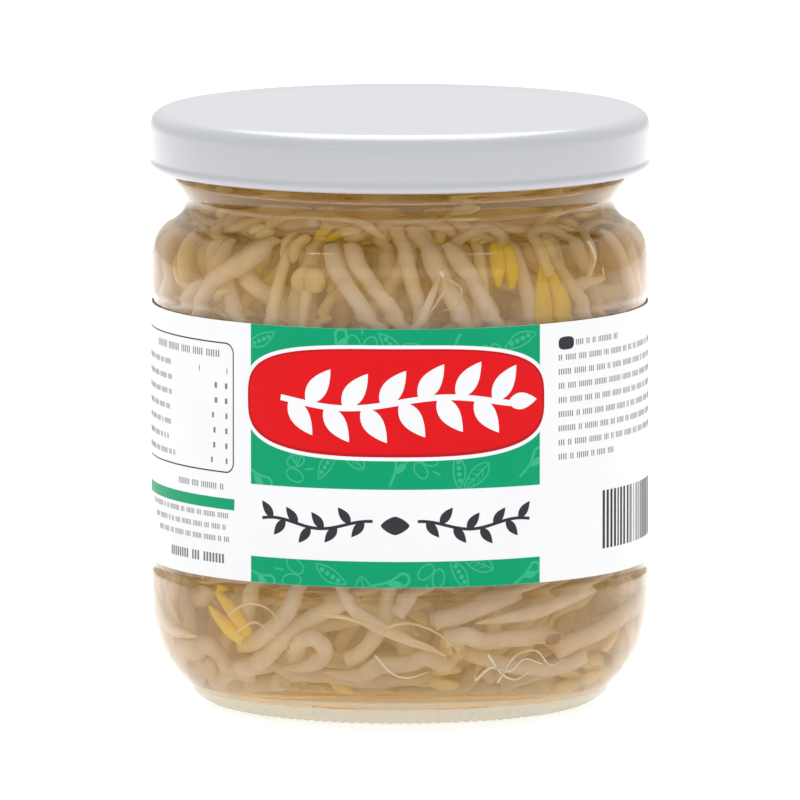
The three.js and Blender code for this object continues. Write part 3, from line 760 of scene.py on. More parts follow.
def print_badge():
    """A red medallion with a plain leafy sprig on it."""
    printed("print_badge_rim", [oval(BADGE_U, BADGE_V, 25.9, 9.3, 3.2)], RIM_LIFT, WHITE)
    printed("print_badge_shade", [oval(BADGE_U, BADGE_V, 25.3, 8.7, 3.2)], SHADE_LIFT, DEEP_RED)
    printed("print_badge", [oval(BADGE_U, BADGE_V + 0.12, 24.9, 8.3, 3.2)], BADGE_LIFT, RED)

    def on_stem(x):
        return BADGE_U + x, BADGE_V + 0.9 * math.sin(x / 5.2)

    sprig = []
    for i, x in enumerate(np.linspace(-17.5, 16.0, 12)):
        sprig.append(leaf(*on_stem(x), 6.9, 3.3, 0.95 if i % 2 else -0.95))
    sprig.append(leaf(BADGE_U + 18.6, BADGE_V - 0.3, 5.2, 2.7, 0.05))
    printed("print_sprig", sprig, SPRIG_LIFT, WHITE)
    stem = [on_stem(x) for x in np.linspace(-19, 19, 60)]
    printed("print_sprig_stem", stroke(stem, 0.95), STEM_LIFT, WHITE)


def print_scroll():
    """A dark scroll of two sprigs across the white strip."""
    middle = (STRIP_TOP + STRIP_BOTTOM) / 2

    def on_stem(side, x):
        return BADGE_U + side * x, middle + 0.7 * math.sin(x / 2.6)

    scroll = []
    for side in (-1, 1):
        scroll += stroke([on_stem(side, x) for x in np.linspace(3.6, 22.5, 40)], 0.5)
        for i, x in enumerate(np.linspace(5.0, 20.5, 8)):
            up = 1 if i % 2 else -1
            turn = up * 0.9 if side > 0 else math.pi - up * 0.9
            scroll.append(leaf(*on_stem(side, x), 3.3, 1.5, turn))
    scroll.append(oval(BADGE_U, middle, 2.3, 1.5, 1.4, 40))
    printed("print_scroll", scroll, INK_LIFT, BLACK)


def ruled_box(left, right, bottom, top, corner):
    """A thin line round a box that is open on its left, with its corners rounded."""
    bends = np.linspace(0.2, 1.4, 6)
    inner = right - corner
    box = [(left, top), (inner, top)]
    box += [(inner + corner * math.sin(a), top - corner + corner * math.cos(a)) for a in bends]
    box += [(right, top - corner), (right, bottom + corner)]
    box += [(inner + corner * math.cos(a), bottom + corner - corner * math.sin(a)) for a in bends]
    box += [(inner, bottom), (left, bottom)]
    return stroke(box, 0.22)


def print_ticks(random):
    """Plain ticks in place of small print, a ruled box, a pill and a pattern of bars."""
    box_right = around(-41.6)
    small = words(around(-75), box_right - 1.2, 59.6, 1.15, random)
    for row in range(7):
        v = 56.9 - 2.42 * row
        small += words(around(-88), around(-62) - 1.0 * (row % 3), v, 0.85, random, 3.0)
        start = box_right - 1.3 - 2.6 - 1.3 * random() - (3.2 if row == 0 else 0)
        small.append(rectangle(start, v - 0.45, box_right - 1.3, v + 0.45))
    small += words(around(-62), around(-44), 38.2, 1.0, random)
    for row in range(3):
        small += words(around(-80 + 3 * row), around(-42.5), 33.6 - 1.9 * row, 0.85, random)
    small += words(around(-66), around(-42.5), 26.6, 1.5, random, 0.0, 0.3)
    # On the right the first row starts after the pill, and the last is short
    right_rows = 9
    for row in range(right_rows):
        first = 44.5 if row == 0 else 39.2
        length = 22 if row == 0 else 46 + 3 * random()
        if row == right_rows - 1:
            length = 20
        small += words(around(first), around(39.2 + length), 61.6 - 2.28 * row, 0.95, random)
    bars = []
    u = around(54)
    while u < around(86):
        wide = 0.22 + 0.22 * int(3 * random())
        bars.append(rectangle(u, 27.6, u + wide, 37.0))
        u += wide + 0.24 + 0.22 * int(2.4 * random())
    # Blocks that run on round the sides
    for left, right in ((-150, -98), (98, 150)):
        for row in range(15):
            small += words(around(left), around(right), 60.8 - 2.3 * row, 0.85, random, 6.0)
    printed("print_small", small, INK_LIFT, GREY, narrow=True)
    printed("print_hairline", ruled_box(around(-92), box_right, 40.6, 61.4, 1.6), INK_LIFT, BLACK)
    printed("print_pill", [oval(around(41.5), 61.6, 1.65, 1.05, 3.0, 40)], INK_LIFT, BLACK)
    printed("print_bars", bars, INK_LIFT, BLACK)
    printed("print_green_bar", [rectangle(around(-88), 34.6, around(-41.3), 36.4)], INK_LIFT, GREEN)


def make_print():
    random = draw(PRINT_SEED)
    print_panel(random)
    print_badge()
    print_scroll()
    print_ticks(random)


# The sprouts

# Every sprout is a chain of beads from its root tip to its head
BEADS = 33
TOUCH = 0.3
PUSH = 1.3
ROUNDS = 160
FILL_ROUNDS = 45
MIDDLE_ROUNDS = 25
NECK_ROUNDS = 30
# How many beads apart a chain holds its length or its bends, and how firmly
SPANS = ((1, 1.0), (3, 0.5), (8, 0.5))
# Beads of one sprout press on each other from this far along it
OWN_REACH = 8
# Neighbouring beads are found by cells of this size, counted from a corner and in rows
CELL = 5.0
CELL_SHIFT = 50
CELL_ROW = 200
CORE_GAP = 0.3
CORE_R = 25.5
CORE_BOTTOM = 12.0
CORE_TOP = 78.0
SPROUT_R = 35.9


def limit(low, high):
    """A flat limit in (radius, height): outward normal and reach."""
    length = math.hypot(high[0] - low[0], high[1] - low[1])
    nr = (high[1] - low[1]) / length
    nz = (low[0] - high[0]) / length
    return nr, nz, nr * low[0] + nz * low[1]


LIMITS = [
    limit((0, 6.9), (26, 6.1)),
    limit((26, 6.1), (32.9, 8.4)),
    limit((32.9, 8.4), (SPROUT_R, 14.5)),
    limit((SPROUT_R, 14.5), (SPROUT_R, 69.5)),
    limit((SPROUT_R, 69.5), (35.1, 73.2)),
    limit((35.4, 85), (0, 85)),
]
SHOULDER = limit((35.1, 73.2), (30.3, 78.1))
NECK = limit((30.3, 78), (30.3, 85))

# Sprouts that lie on the front of the glass: radius, head, and [degrees to the right, height, depth]
# from the root tip to the head
FRONT = [
    (1.35, "bud", [[-30, 24, 1], [-34, 44, 0], [-35, 64, 0], [-35, 76, 0], [-39, 79.5, 1]]),
    (1.3, "bud", [[-12, 30, 1], [-20, 46, 0], [-26, 60, 0], [-25, 69, 0], [-24, 74, 0]]),
    (1.4, "none", [[20, 36, 0], [21, 52, 0], [18, 64, 0], [11, 73, 0], [5, 82, 0]]),
    (1.3, "none", [[8, 40, 1], [3, 54, 1], [-6, 65, 0], [-12, 70, 0], [-20, 76, 0]]),
    (1.25, "none", [[18, 44, 2], [10, 56, 2], [1, 65, 2], [-7, 71, 2], [-15, 76, 2]]),
    (1.25, "none", [[0, 48, 3], [5, 62, 3], [5, 71, 3], [1, 76, 2.5], [-3, 82, 3]]),
    (1.05, "bud", [[11, 74, 0], [7, 68, 0], [-1, 58, 0], [-8, 44, 0], [-6, 34, 1]]),
    (1.3, "none", [[38, 52, 3], [38, 64, 3], [34, 72, 3], [25, 78, 2.5], [15, 81.5, 2]]),
    (1.15, "leaf", [[8, 68, 8], [16, 76, 6], [24, 80.5, 2.5], [27, 79, 0], [29, 70, 0]]),
    (1.35, "none", [[66, 70, 4], [56, 71, 3], [42, 72, 3], [28, 73, 3], [16, 73.5, 4]]),
    (1.2, "leaf", [[70, 60, 6], [60, 72, 4], [50, 80, 2], [43, 78, 0], [44, 63, 0]]),
    (1.35, "bud", [[56, 36, 0], [58, 50, 0], [53, 64, 0], [49, 71, 0], [45, 79, 0]]),
    (1.1, "bud", [[54, 71.5, 1], [61, 74, 0], [63, 78, 0.5], [76, 79, 1], [94, 70, 0], [98, 60, 0]]),
    (1.35, "none", [[36, 38, 0], [32, 50, 0], [26, 65, 0], [20, 72, 0], [15, 77, 2.5]]),
    (1.35, "none", [[82, 34, 0], [84, 50, 0], [79, 64, 0], [72, 76, 0]]),
    (1.45, "none", [[-68, 52, 0], [-62, 64, 0], [-52, 72, 0], [-44, 75, 0], [-38, 77.5, 1.5]]),
    (1.3, "bud", [[-60, 30, 0], [-56, 48, 0], [-62, 62, 1.5], [-68, 69, 0], [-75, 74, 0]]),
    (1.4, "none", [[-44, 38, 0], [-42, 52, 0], [-44, 63, 0], [-50, 68, 2], [-58, 73, 3]]),
    (1.25, "bud", [[0, 77, 6], [-14, 80, 4.5], [-28, 80.5, 3], [-40, 80.5, 2.5], [-49, 77.5, 0]]),
    (1.2, "bud", [[24, 76, 8], [12, 79, 6], [0, 80, 4], [-8, 80, 2], [-17, 79, 1]]),
    (1.35, "leaf", [[-14, 46, 0], [-22, 34, 0], [-26, 23, 0], [-29, 18, 0], [-34, 14.2, 0], [-42, 12, 0],
                    [-50, 12.5, 0], [-54, 19, 0]]),
    (1.3, "none", [[-38, 46, 2], [-36, 36, 2], [-38, 26, 2], [-44, 19, 2], [-48, 14, 1.5]]),
    (1.4, "none", [[10, 32, 2], [-2, 23, 2], [-15, 20.5, 2], [-23, 17.7, 2.5], [-31, 15, 3], [-40, 11.5, 2],
                   [-45, 6, 1]]),
    (1.35, "none", [[-31, 8, 0], [-24, 9.8, 0], [-19.5, 12, 0], [-22, 14.6, 0], [-27, 14.2, 1],
                    [-34, 11, 5]]),
    (1.35, "none", [[4, 40, 2], [0, 30, 2], [-4, 20, 2], [-6, 15, 1], [-9, 9, 1]]),
    (1.2, "bud", [[-46, 12, 5], [-34, 10, 5], [-21, 9.4, 4], [-8, 8.6, 4], [8, 8.4, 4], [18, 9, 4]]),
    (1.15, "bud", [[11, 11.8, 0], [6, 13.2, 0], [0, 15.4, 0], [-8, 17.2, 0], [-15, 21, 0], [-15, 32, 1],
                   [-10, 42, 2]]),
    (1.3, "bud", [[-16, 10, 2], [-12, 7.4, 0], [-6, 6, 0], [1, 7, 0], [4, 10, 0], [9, 11.2, 0], [14, 9.5, 0],
                  [14.5, 6.5, 0], [10, 5.6, 0]]),
    (1.45, "none", [[64, 9, 4], [50, 12, 3], [37, 14.3, 0], [20, 14, 0], [12, 11.6, 1]]),
    (1.45, "none", [[62, 34, 0], [50, 27, 0], [36, 22.4, 0], [22, 19.6, 0], [9, 16.8, 1]]),
    (1.45, "none", [[108, 22, 0], [92, 18, 0], [75, 15.5, 0], [57, 13.5, 0], [46, 11, 0]]),
    (1.2, "bud", [[20, 17, 0], [36, 18, 0], [50, 20, 0], [64, 22.5, 0], [76, 26, 0]]),
    (1.3, "none", [[6, 12, 5], [18, 11, 4], [30, 9.8, 2], [42, 8.6, 1], [55, 6.8, 0]]),
    (1.3, "none", [[28, 48, 2], [22, 40, 2], [16, 31, 1], [9, 24, 0], [-2, 19.4, 0]]),
]

REST_OF_WALL = 20
INNER = 52
INNER_DEPTHS = [14, 9, 7, 6, 5]
# Steps of even spreads round the jar, up its height and into its depth
SPREAD_A = 0.7548777
SPREAD_B = 0.5698403
SPREAD_C = 0.4142136
# Degrees of turn for a millimetre along the wall, and about as many as a radian has
WALL_TURN = 1.65
RADIAN = 57.3
STEPS = range(-2, 3)
WALL_SEED = 41
INNER_SEED = 97

# Sprouts that fill the jar behind the others, and those in its very middle
FILL = 250
FILL_SEED = 23
FILL_DEPTHS = (4.6, 19.0)
MIDDLE = 46
MIDDLE_SEED = 5
MIDDLE_DEPTHS = (19, 33)
NECK_FILL = 34
NECK_SEED = 61
SIDE_FILL = 26
FLOOR_FILL = 34
LOOK_SEED = 311


def draw(seed):
    """A repeatable draw between 0 and 1."""
    mask = 0xFFFFFFFF
    state = seed & mask

    def step():
        nonlocal state
        state = (state + 0x6D2B79F5) & mask
        mixed = ((state ^ (state >> 15)) * (1 | state)) & mask
        mixed = ((mixed + (((mixed ^ (mixed >> 7)) * (61 | mixed)) & mask)) ^ mixed) & mask
        return ((mixed ^ (mixed >> 14)) & mask) / 4294967296

    return step


def spread(order, step, start, low=0, size=1):
    """A value that fills a range evenly as the order grows."""
    return low + size * ((order * step + start) % 1)


def some_radius(random):
    return 1.15 + 0.3 * random()


def wall_sprout(random, order):
    """A sprout on the sides or the back of the glass, wandering from a middle point both ways."""
    middle = spread(order, SPREAD_A, 0.2, 92, 178)
    height = spread(order, SPREAD_B, 0.5, 14, 60)
    heading = math.radians(random() * 360)
    bend = (random() - 0.5) * 0.6
    path = []
    for step in STEPS:
        direction = heading + bend * step
        along = step * (10 + 2 * random())
        place = middle + along * math.cos(direction) * WALL_TURN
        level = min(80, max(8, height + along * math.sin(direction)))
        path.append([place, level, 2.6 * random()])
    head = "bud" if random() < 0.6 else "none"
    return some_radius(random), head, path


def inner_sprout(random, order):
    """A sprout with its root far from the glass, which comes out towards it."""
    start = spread(order, SPREAD_A, 0, 0, 360)
    height = spread(order, SPREAD_B, 0, 12, 64)
    turn = (-1 if random() < 0.5 else 1) * (8 + 14 * random())
    climb = (random() - 0.5) * 26
    path = []
    for step, depth in enumerate(INNER_DEPTHS):
        path.append([start + turn * step, min(80, max(9, height + climb * (step - 1))), depth])
    radius = 1.2 + 0.25 * random()
    return radius, "bud" if random() < 0.5 else "none", path


def fill_sprout(random, order, nearest, farthest):
    """A sprout between the outer ones and the middle, at its own depth."""
    depth = nearest + (farthest - nearest) * spread(order, SPREAD_C, 0.3) ** 1.2
    middle = spread(order, SPREAD_A, 0.11, 0, 360)
    height = spread(order, SPREAD_B, 0.37, 10, 68)
    heading = math.radians(random() * 360)
    bend = (random() - 0.5) * 0.8
    reach = 9 + 3 * random()
    path = []
    for step in STEPS:
        direction = heading + bend * step
        along = step * reach
        at_depth = depth + 3 * (random() - 0.5)
        degree = RADIAN / max(6, SPROUT_R - at_depth)
        place = middle + along * math.cos(direction) * degree
        level = min(82, max(8, height + along * math.sin(direction)))
        path.append([place, level, at_depth])
    pick = random()
    head = "bud" if pick < 0.5 else "leaf" if pick < 0.58 else "none"
    return some_radius(random), head, path


def neck_sprout(random, order):
    """A sprout that lies nearly level in the neck."""
    depth = 6.2 + 9 * spread(order, SPREAD_C, 0.2) ** 1.3
    middle = spread(order, SPREAD_A, 0.31, 0, 360)
    height = spread(order, SPREAD_B, 0.19, 77.5, 7)
    degree = RADIAN / (SPROUT_R - depth)
    path = []
    for step in STEPS:
        place = middle + step * (8 + 3 * random()) * degree
        path.append([place, height + 2.4 * (random() - 0.5), depth + 2.0 * (random() - 0.5)])
    return some_radius(random), "none", path


def side_sprout(random, order):
    """A sprout close behind the glass at the far left, or for an odd number at the far right."""
    middle = (90 if order % 2 else -90) + 44 * (spread(order // 2, SPREAD_A, 0.4) - 0.5)
    height = spread(order // 2, SPREAD_B, 0.22, 12, 60)
    heading = math.radians(random() * 360)
    path = []
    for step in STEPS:
        along = step * 7.5
        level = min(76, max(10, height + along * math.sin(heading)))
        path.append([middle + along * math.cos(heading) * WALL_TURN, level, 0.6 + 3 * random()])
    return some_radius(random), "none", path


def floor_sprout(random, order):
    """A sprout that lies on the floor of the jar."""
    depth = spread(order, SPREAD_C, 0.15, 3.5, 24)
    middle = spread(order, SPREAD_A, 0.47, 0, 360)
    degree = RADIAN / (SPROUT_R - depth)
    drift = 8 * (random() - 0.5)
    path = []
    for step in STEPS:
        place = middle + step * (6 + 3 * random()) * degree
        path.append([place, 7.4 + 1.5 * random(), max(3.0, depth + drift * step / 2)])
    return some_radius(random), "none", path


def stem_radius(plant, share):
    """Radius of the stem at a share of its length from the root tip."""
    tail = np.minimum(1, 0.32 + share * 2.6)
    neck = 0 if plant[1] == "none" else np.clip((share - 0.72) / 0.14, 0, 1)
    return plant[0] * tail * (1 - 0.3 * neck)


def full_radii(plant):
    """Radius at each bead, with the head."""
    radii = stem_radius(plant, np.arange(BEADS) / (BEADS - 1))
    if plant[1] in HEAD_BEADS:
        beads, radius = HEAD_BEADS[plant[1]]
        radii[BEADS - beads:] = radius
    return radii


def on_wall(angle, r, height):
    """A place at an angle to the right of the front, in degrees."""
    return r * math.sin(math.radians(angle)), -r * math.cos(math.radians(angle)), height


def beads_along(plant):
    """The beads of a sprout, spaced evenly along its path and then smoothed."""
    corners = []
    for angle, height, depth in plant[2]:
        corners.append(on_wall(angle, SPROUT_R - plant[0] - depth, height))
    corners = np.array(corners)
    lengths = np.concatenate([[0], np.cumsum(np.linalg.norm(np.diff(corners, axis=0), axis=1))])
    at = lengths[-1] * np.arange(BEADS) / (BEADS - 1)
    beads = np.stack([np.interp(at, lengths, corners[:, axis]) for axis in range(3)], axis=1)
    for _ in range(6):
        before = beads.copy()
        beads[1:-1] = (before[1:-1] + 0.5 * before[:-2] + 0.5 * before[2:]) * 0.5
    return beads


def push_in(beads, radii, plane, only=None):
    """Moves beads back behind a limit."""
    nr, nz, reach = plane
    r = np.hypot(beads[..., 0], beads[..., 1])
    over = np.maximum(0, nr * r + nz * beads[..., 2] + radii - reach)
    if only is not None:
        over = np.where(only, over, 0)
    scale = (r - nr * over) / np.maximum(r, 1e-9)
    beads[..., 0] *= scale
    beads[..., 1] *= scale
    beads[..., 2] -= nz * over


def keep_inside(beads, radii, core):
    """Moves beads back inside the space for the sprouts."""
    for plane in LIMITS:
        push_in(beads, radii, plane)
    r = np.hypot(beads[..., 0], beads[..., 1])
    over_shoulder = SHOULDER[0] * r + SHOULDER[1] * beads[..., 2] + radii - SHOULDER[2]
    over_neck = NECK[0] * r + NECK[1] * beads[..., 2] + radii - NECK[2]
    both = (over_shoulder > 0) & (over_neck > 0)
    nearer = over_shoulder < over_neck
    push_in(beads, radii, SHOULDER, both & nearer)
    push_in(beads, radii, NECK, both & ~nearer)
    least = core[:, None] + radii
    r = np.hypot(beads[..., 0], beads[..., 1])
    within = (beads[..., 2] > CORE_BOTTOM - radii) & (beads[..., 2] < CORE_TOP + radii)
    out = (core[:, None] > 0) & (r < least) & within
    scale = np.where(out, least / np.maximum(r, 1e-9), 1)
    beads[..., 0] *= scale
    beads[..., 1] *= scale


def near_pairs(points):
    """Pairs of points in the same or neighbouring cells."""
    cells = np.floor(points / CELL).astype(np.int64) + CELL_SHIFT
    key = (cells[:, 0] * CELL_ROW + cells[:, 1]) * CELL_ROW + cells[:, 2]
    order = np.argsort(key, kind="stable")
    ranked = key[order]
    firsts = []
    seconds = []
    offsets = [(0, 0, 1), (0, 1, -1), (0, 1, 0), (0, 1, 1)]
    offsets += [(1, y, z) for y in (-1, 0, 1) for z in (-1, 0, 1)]
    count = len(points)
    for x, y, z in offsets:
        wanted = ranked + (x * CELL_ROW + y) * CELL_ROW + z
        low = np.searchsorted(ranked, wanted, "left")
        high = np.searchsorted(ranked, wanted, "right")
        sizes = high - low
        first = np.repeat(np.arange(count), sizes)
        start = np.repeat(low - np.concatenate([[0], np.cumsum(sizes)[:-1]]), sizes)
        firsts.append(first)
        seconds.append(start + np.arange(len(first)))
    # Pairs within one cell: each point with those after it
    high = np.searchsorted(ranked, ranked, "right")
    sizes = high - np.arange(count) - 1
    first = np.repeat(np.arange(count), sizes)
    start = np.repeat(np.arange(count) + 1 - np.concatenate([[0], np.cumsum(sizes)[:-1]]), sizes)
    firsts.append(first)
    seconds.append(start + np.arange(len(first)))
    return order[np.concatenate(firsts)], order[np.concatenate(seconds)]


def hold_spans(beads, lengths, apart, firmness):
    """Keeps each chain's length and its bends."""
    for i in range(beads.shape[1] - apart):
        between = beads[:, i + apart] - beads[:, i]
        distance = np.linalg.norm(between, axis=1)
        share = firmness * 0.5 * (distance - lengths[:, i]) / distance
        beads[:, i] += between * share[:, None]
        beads[:, i + apart] -= between * share[:, None]


def settle(plants, core, rounds, fixed=None):
    """Presses the sprouts apart until they only touch, while each keeps its length and its bends."""
    beads = np.array([beads_along(plant) for plant in plants])
    radii = np.array([full_radii(plant) for plant in plants])
    spans = [np.linalg.norm(beads[:, apart:] - beads[:, :-apart], axis=2) for apart, _ in SPANS]
    chains = len(plants)
    free = chains * BEADS
    owner = np.repeat(np.arange(chains), BEADS)
    place = np.tile(np.arange(BEADS), chains)
    all_radii = radii.ravel()
    still = np.zeros((0, 3))
    if fixed is not None:
        still = fixed[0].reshape(-1, 3)
        all_radii = np.concatenate([all_radii, fixed[1].ravel()])
        owner = np.concatenate([owner, chains + np.repeat(np.arange(len(fixed[0])), BEADS)])
        place = np.concatenate([place, np.tile(np.arange(BEADS), len(fixed[0]))])
    for _ in range(rounds):
        points = np.concatenate([beads.reshape(-1, 3), still])
        first, second = near_pairs(points)
        keep = (first < free) | (second < free)
        first, second = first[keep], second[keep]
        keep = (owner[first] != owner[second]) | (np.abs(place[first] - place[second]) >= OWN_REACH)
        first, second = first[keep], second[keep]
        between = points[first] - points[second]
        distance = np.linalg.norm(between, axis=1)
        overlap = all_radii[first] + all_radii[second] + TOUCH - distance
        keep = (overlap > 0) & (distance > 0)
        first, second, between, distance, overlap = (
            item[keep] for item in (first, second, between, distance, overlap)
        )
        weight = np.where((first < free) & (second < free), 0.5, 1.0)
        step = between * (weight * overlap / distance)[:, None]
        shift = np.zeros_like(points)
        hits = np.zeros(len(points))
        np.add.at(shift, first, step)
        np.add.at(shift, second, -step)
        np.add.at(hits, first, 1)
        np.add.at(hits, second, 1)
        moved = (shift * (PUSH / np.maximum(hits, 1))[:, None])[:free]
        beads += moved.reshape(beads.shape)
        for lengths, (apart, firmness) in zip(spans, SPANS):
            hold_spans(beads, lengths, apart, firmness)
        keep_inside(beads, radii, core)
    return beads, radii


def smooth_line(beads, parts):
    """A finer line through the beads."""
    padded = np.vstack([2 * beads[0] - beads[1], beads, 2 * beads[-1] - beads[-2]])
    pieces = []
    for i in range(len(beads) - 1):
        a, b, c, d = padded[i:i + 4]
        t = (np.arange(parts) / parts)[:, None]
        pieces.append(0.5 * (2 * b + (c - a) * t + (2 * a - 5 * b + 4 * c - d) * t ** 2
                             + (3 * b - a - 3 * c + d) * t ** 3))
    pieces.append(beads[-1:])
    return np.vstack(pieces)


def frames_along(line):
    """At each point: direction, sideways and outwards, kept from twisting from the head back to the root."""
    along = np.gradient(line, axis=0)
    along /= np.linalg.norm(along, axis=1)[:, None]
    outward = np.array([line[-1, 0], line[-1, 1], 0.0])
    outward /= max(1e-6, np.linalg.norm(outward))
    through = np.zeros_like(line)
    for i in range(len(line) - 1, -1, -1):
        outward = outward - along[i] * float(outward @ along[i])
        outward /= max(1e-6, math.sqrt(float(outward @ outward)))
        through[i] = outward
    across = np.cross(along, through)
    return along, across, through


STEM_TINT = np.array([0.82, 0.83, 0.84])
ROOT_TINT = np.array([0.8, 0.7, 0.5])
NECK_TINT = np.array([0.86, 0.79, 0.6])
BUD_TINT = np.array([0.94, 0.83, 0.5])
YELLOW_TINT = np.array([0.98, 0.72, 0.03])

# Shed seed coats: degrees to the right, height and radius, then turn, length and width
SEED_COATS = [
    ((41, 13.8, 36.4), 0.2, 3.2, 1.6),
    ((-97, 44, 36.2), 1.1, 3.6, 2.0),
    ((150, 18, 36.2), 0.5, 3.4, 1.8),
    ((118, 68, 36.0), 2.3, 3.0, 1.8),
]
COAT_TINT = np.array([0.05, 0.015, 0.04])

# Loose roots at the glass: places in degrees to the right and height, and the radius
ROOT_R = 36.75
ROOTS = [
    ([(-20, 18.6), (-14, 18.2), (-7, 17.0), (0, 15.3), (6, 14.2), (11, 12.4)], 0.42),
    ([(-5, 16.4), (1, 17.4), (6, 16.8), (12, 14.6), (15, 12.2)], 0.28),
    ([(19, 8.2), (23, 10.2), (28, 9.4), (32, 11.2), (37, 10.2)], 0.3),
    ([(22, 12.2), (26, 9.0), (30, 7.8), (34, 9.2)], 0.26),
    ([(25, 7.6), (29, 11.6), (35, 12.4), (40, 9.8), (44, 10.6)], 0.24),
    ([(-46, 17.5), (-40, 19.4), (-34, 19.0), (-31, 17.2)], 0.3),
    ([(-44, 14.6), (-38, 16.6), (-33, 15.2), (-28, 12.4)], 0.24),
    ([(10, 73.6), (11, 71.2), (9, 69.0), (7, 67.0)], 0.36),
    ([(12, 72.4), (15, 71.0), (14, 68.4), (11, 67.6)], 0.26),
    ([(54, 76.2), (55, 73.6), (52, 71.2), (50, 69.4)], 0.34),
    ([(-6, 12.4), (-2, 9.6), (2, 8.8), (7, 9.8)], 0.22),
    ([(118, 40), (124, 36), (131, 35), (138, 31), (143, 25)], 0.34),
    ([(-120, 58), (-126, 52), (-124, 46), (-131, 41)], 0.32),
    ([(172, 62), (176, 56), (183, 53), (190, 48)], 0.34),
]
THREAD_TINT = np.array([0.84, 0.72, 0.46])

# Painted shade: the upper sprouts, in the shade of the lid, are tinted darker and browner
UPPER_SHADE_TINT = np.array([0.84, 0.66, 0.42])
UPPER_SHADE_FROM = 68.0
UPPER_SHADE_TO = 82.0
# Painted shade: the lowest sprouts are tinted a little darker
LOW_SHADE_TINT = np.array([0.84, 0.82, 0.8])
LOW_SHADE_BELOW = 30.0
LOW_SHADE_FULL_AT = 18.0

# Heads: how many last beads they take up with which radius, the bead they start at, and half the width and
# thickness of a seed leaf
HEAD_BEADS = {"bud": (5, 2.0), "leaf": (7, 2.1)}
HEAD_START = {"none": BEADS - 1, "bud": 27, "leaf": 24}
BUD_REACH = 2.7
BUD_HALF = (1.35, 1.62)
LEAF_HALF = (1.5, 0.62)

# Heads that differ from the rest, by the sprout's number: longer, wider, thicker, narrowed to the stalk
# and parted
HEAD_SHAPES = {
    1: (0.95, 1.15, 1.05, 0.0, 0.42),
    2: (0.68, 1.95, 1.25, 0.0, 0.06),
    9: (0.8, 1.25, 1.6, 0.2, 0.3),
    11: (1.15, 1.8, 1.9, 0.5, 0.4),
    19: (0.8, 1.4, 1.1, 0.0, 0.2),
    20: (0.85, 1.3, 1.0, 0.0, 0.2),
    21: (1.0, 1.3, 1.4, 0.2, 0.4),
}
PLAIN_HEAD = (1.0, 1.0, 1.0, 0.0, 0.42)

# The uneven skin of a stem: waves along it with their sizes, their share of its radius, how much slimmer
# it is than its beads, and its least radius
WAVES = ((17, 1.0), (41, 0.6), (83, 0.4))
WAVE_SHARE = 0.028
SLIM = 0.03
THINNEST = 0.22


class Build:
    """Gathers points, faces and tints of one piece."""

    def __init__(self):
        self.verts = []
        self.faces = []
        self.tints = []

    def add(self, verts, faces, tints):
        start = sum(len(part) for part in self.verts)
        self.verts.append(verts)
        self.tints.append(tints)
        self.faces.extend(tuple(start + i for i in face) for face in faces)

    def piece(self, name, node):
        item = make_piece(
            name, np.vstack(self.verts), self.faces, FLESH, "jar", node, np.vstack(self.tints), 60
        )
        item.cycles.shadow_terminator_geometry_offset = 1.0
        item.cycles.shadow_terminator_offset = 0.1


def tube_faces(rings, sides):
    faces = []
    for ring in range(rings - 1):
        for side in range(sides):
            a = ring * sides + side
            b = ring * sides + (side + 1) % sides
            faces.append((a, a + sides, b + sides, b))
    root = rings * sides
    faces += [(root, side, (side + 1) % sides) for side in range(sides)]
    last = (rings - 1) * sides
    faces += [(root + 1, last + (side + 1) % sides, last + side) for side in range(sides)]
    return faces


def bean(build, centre, along, across, through, half, tint, side, tip, stalk, rows, sides):
    """One seed leaf: a long bean, flat on the side that faces its twin, narrowed to its tip and its stalk."""
    verts = []
    tints = []
    half_along, half_across, half_through = half
    for row in range(1, rows):
        angle = math.pi * row / rows
        level = -math.cos(angle)
        wide = math.sin(angle) ** 0.85
        wide *= 1 - tip * max(0, level) - stalk * max(0, -level)
        for step in range(sides):
            turn = 2 * math.pi * step / sides
            a = math.cos(turn) * half_across * wide
            if a * side < 0:
                a *= 0.35
            t = math.sin(turn) * half_through * wide
            verts.append(centre + along * (level * half_along) + across * a + through * t)
            tints.append(tint * (1 + 0.05 * level))
    faces = tube_faces(rows - 1, sides)
    verts.append(centre - along * half_along)
    verts.append(centre + along * half_along)
    tints.append(tint)
    tints.append(tint)
    build.add(np.array(verts), faces, np.array(tints))


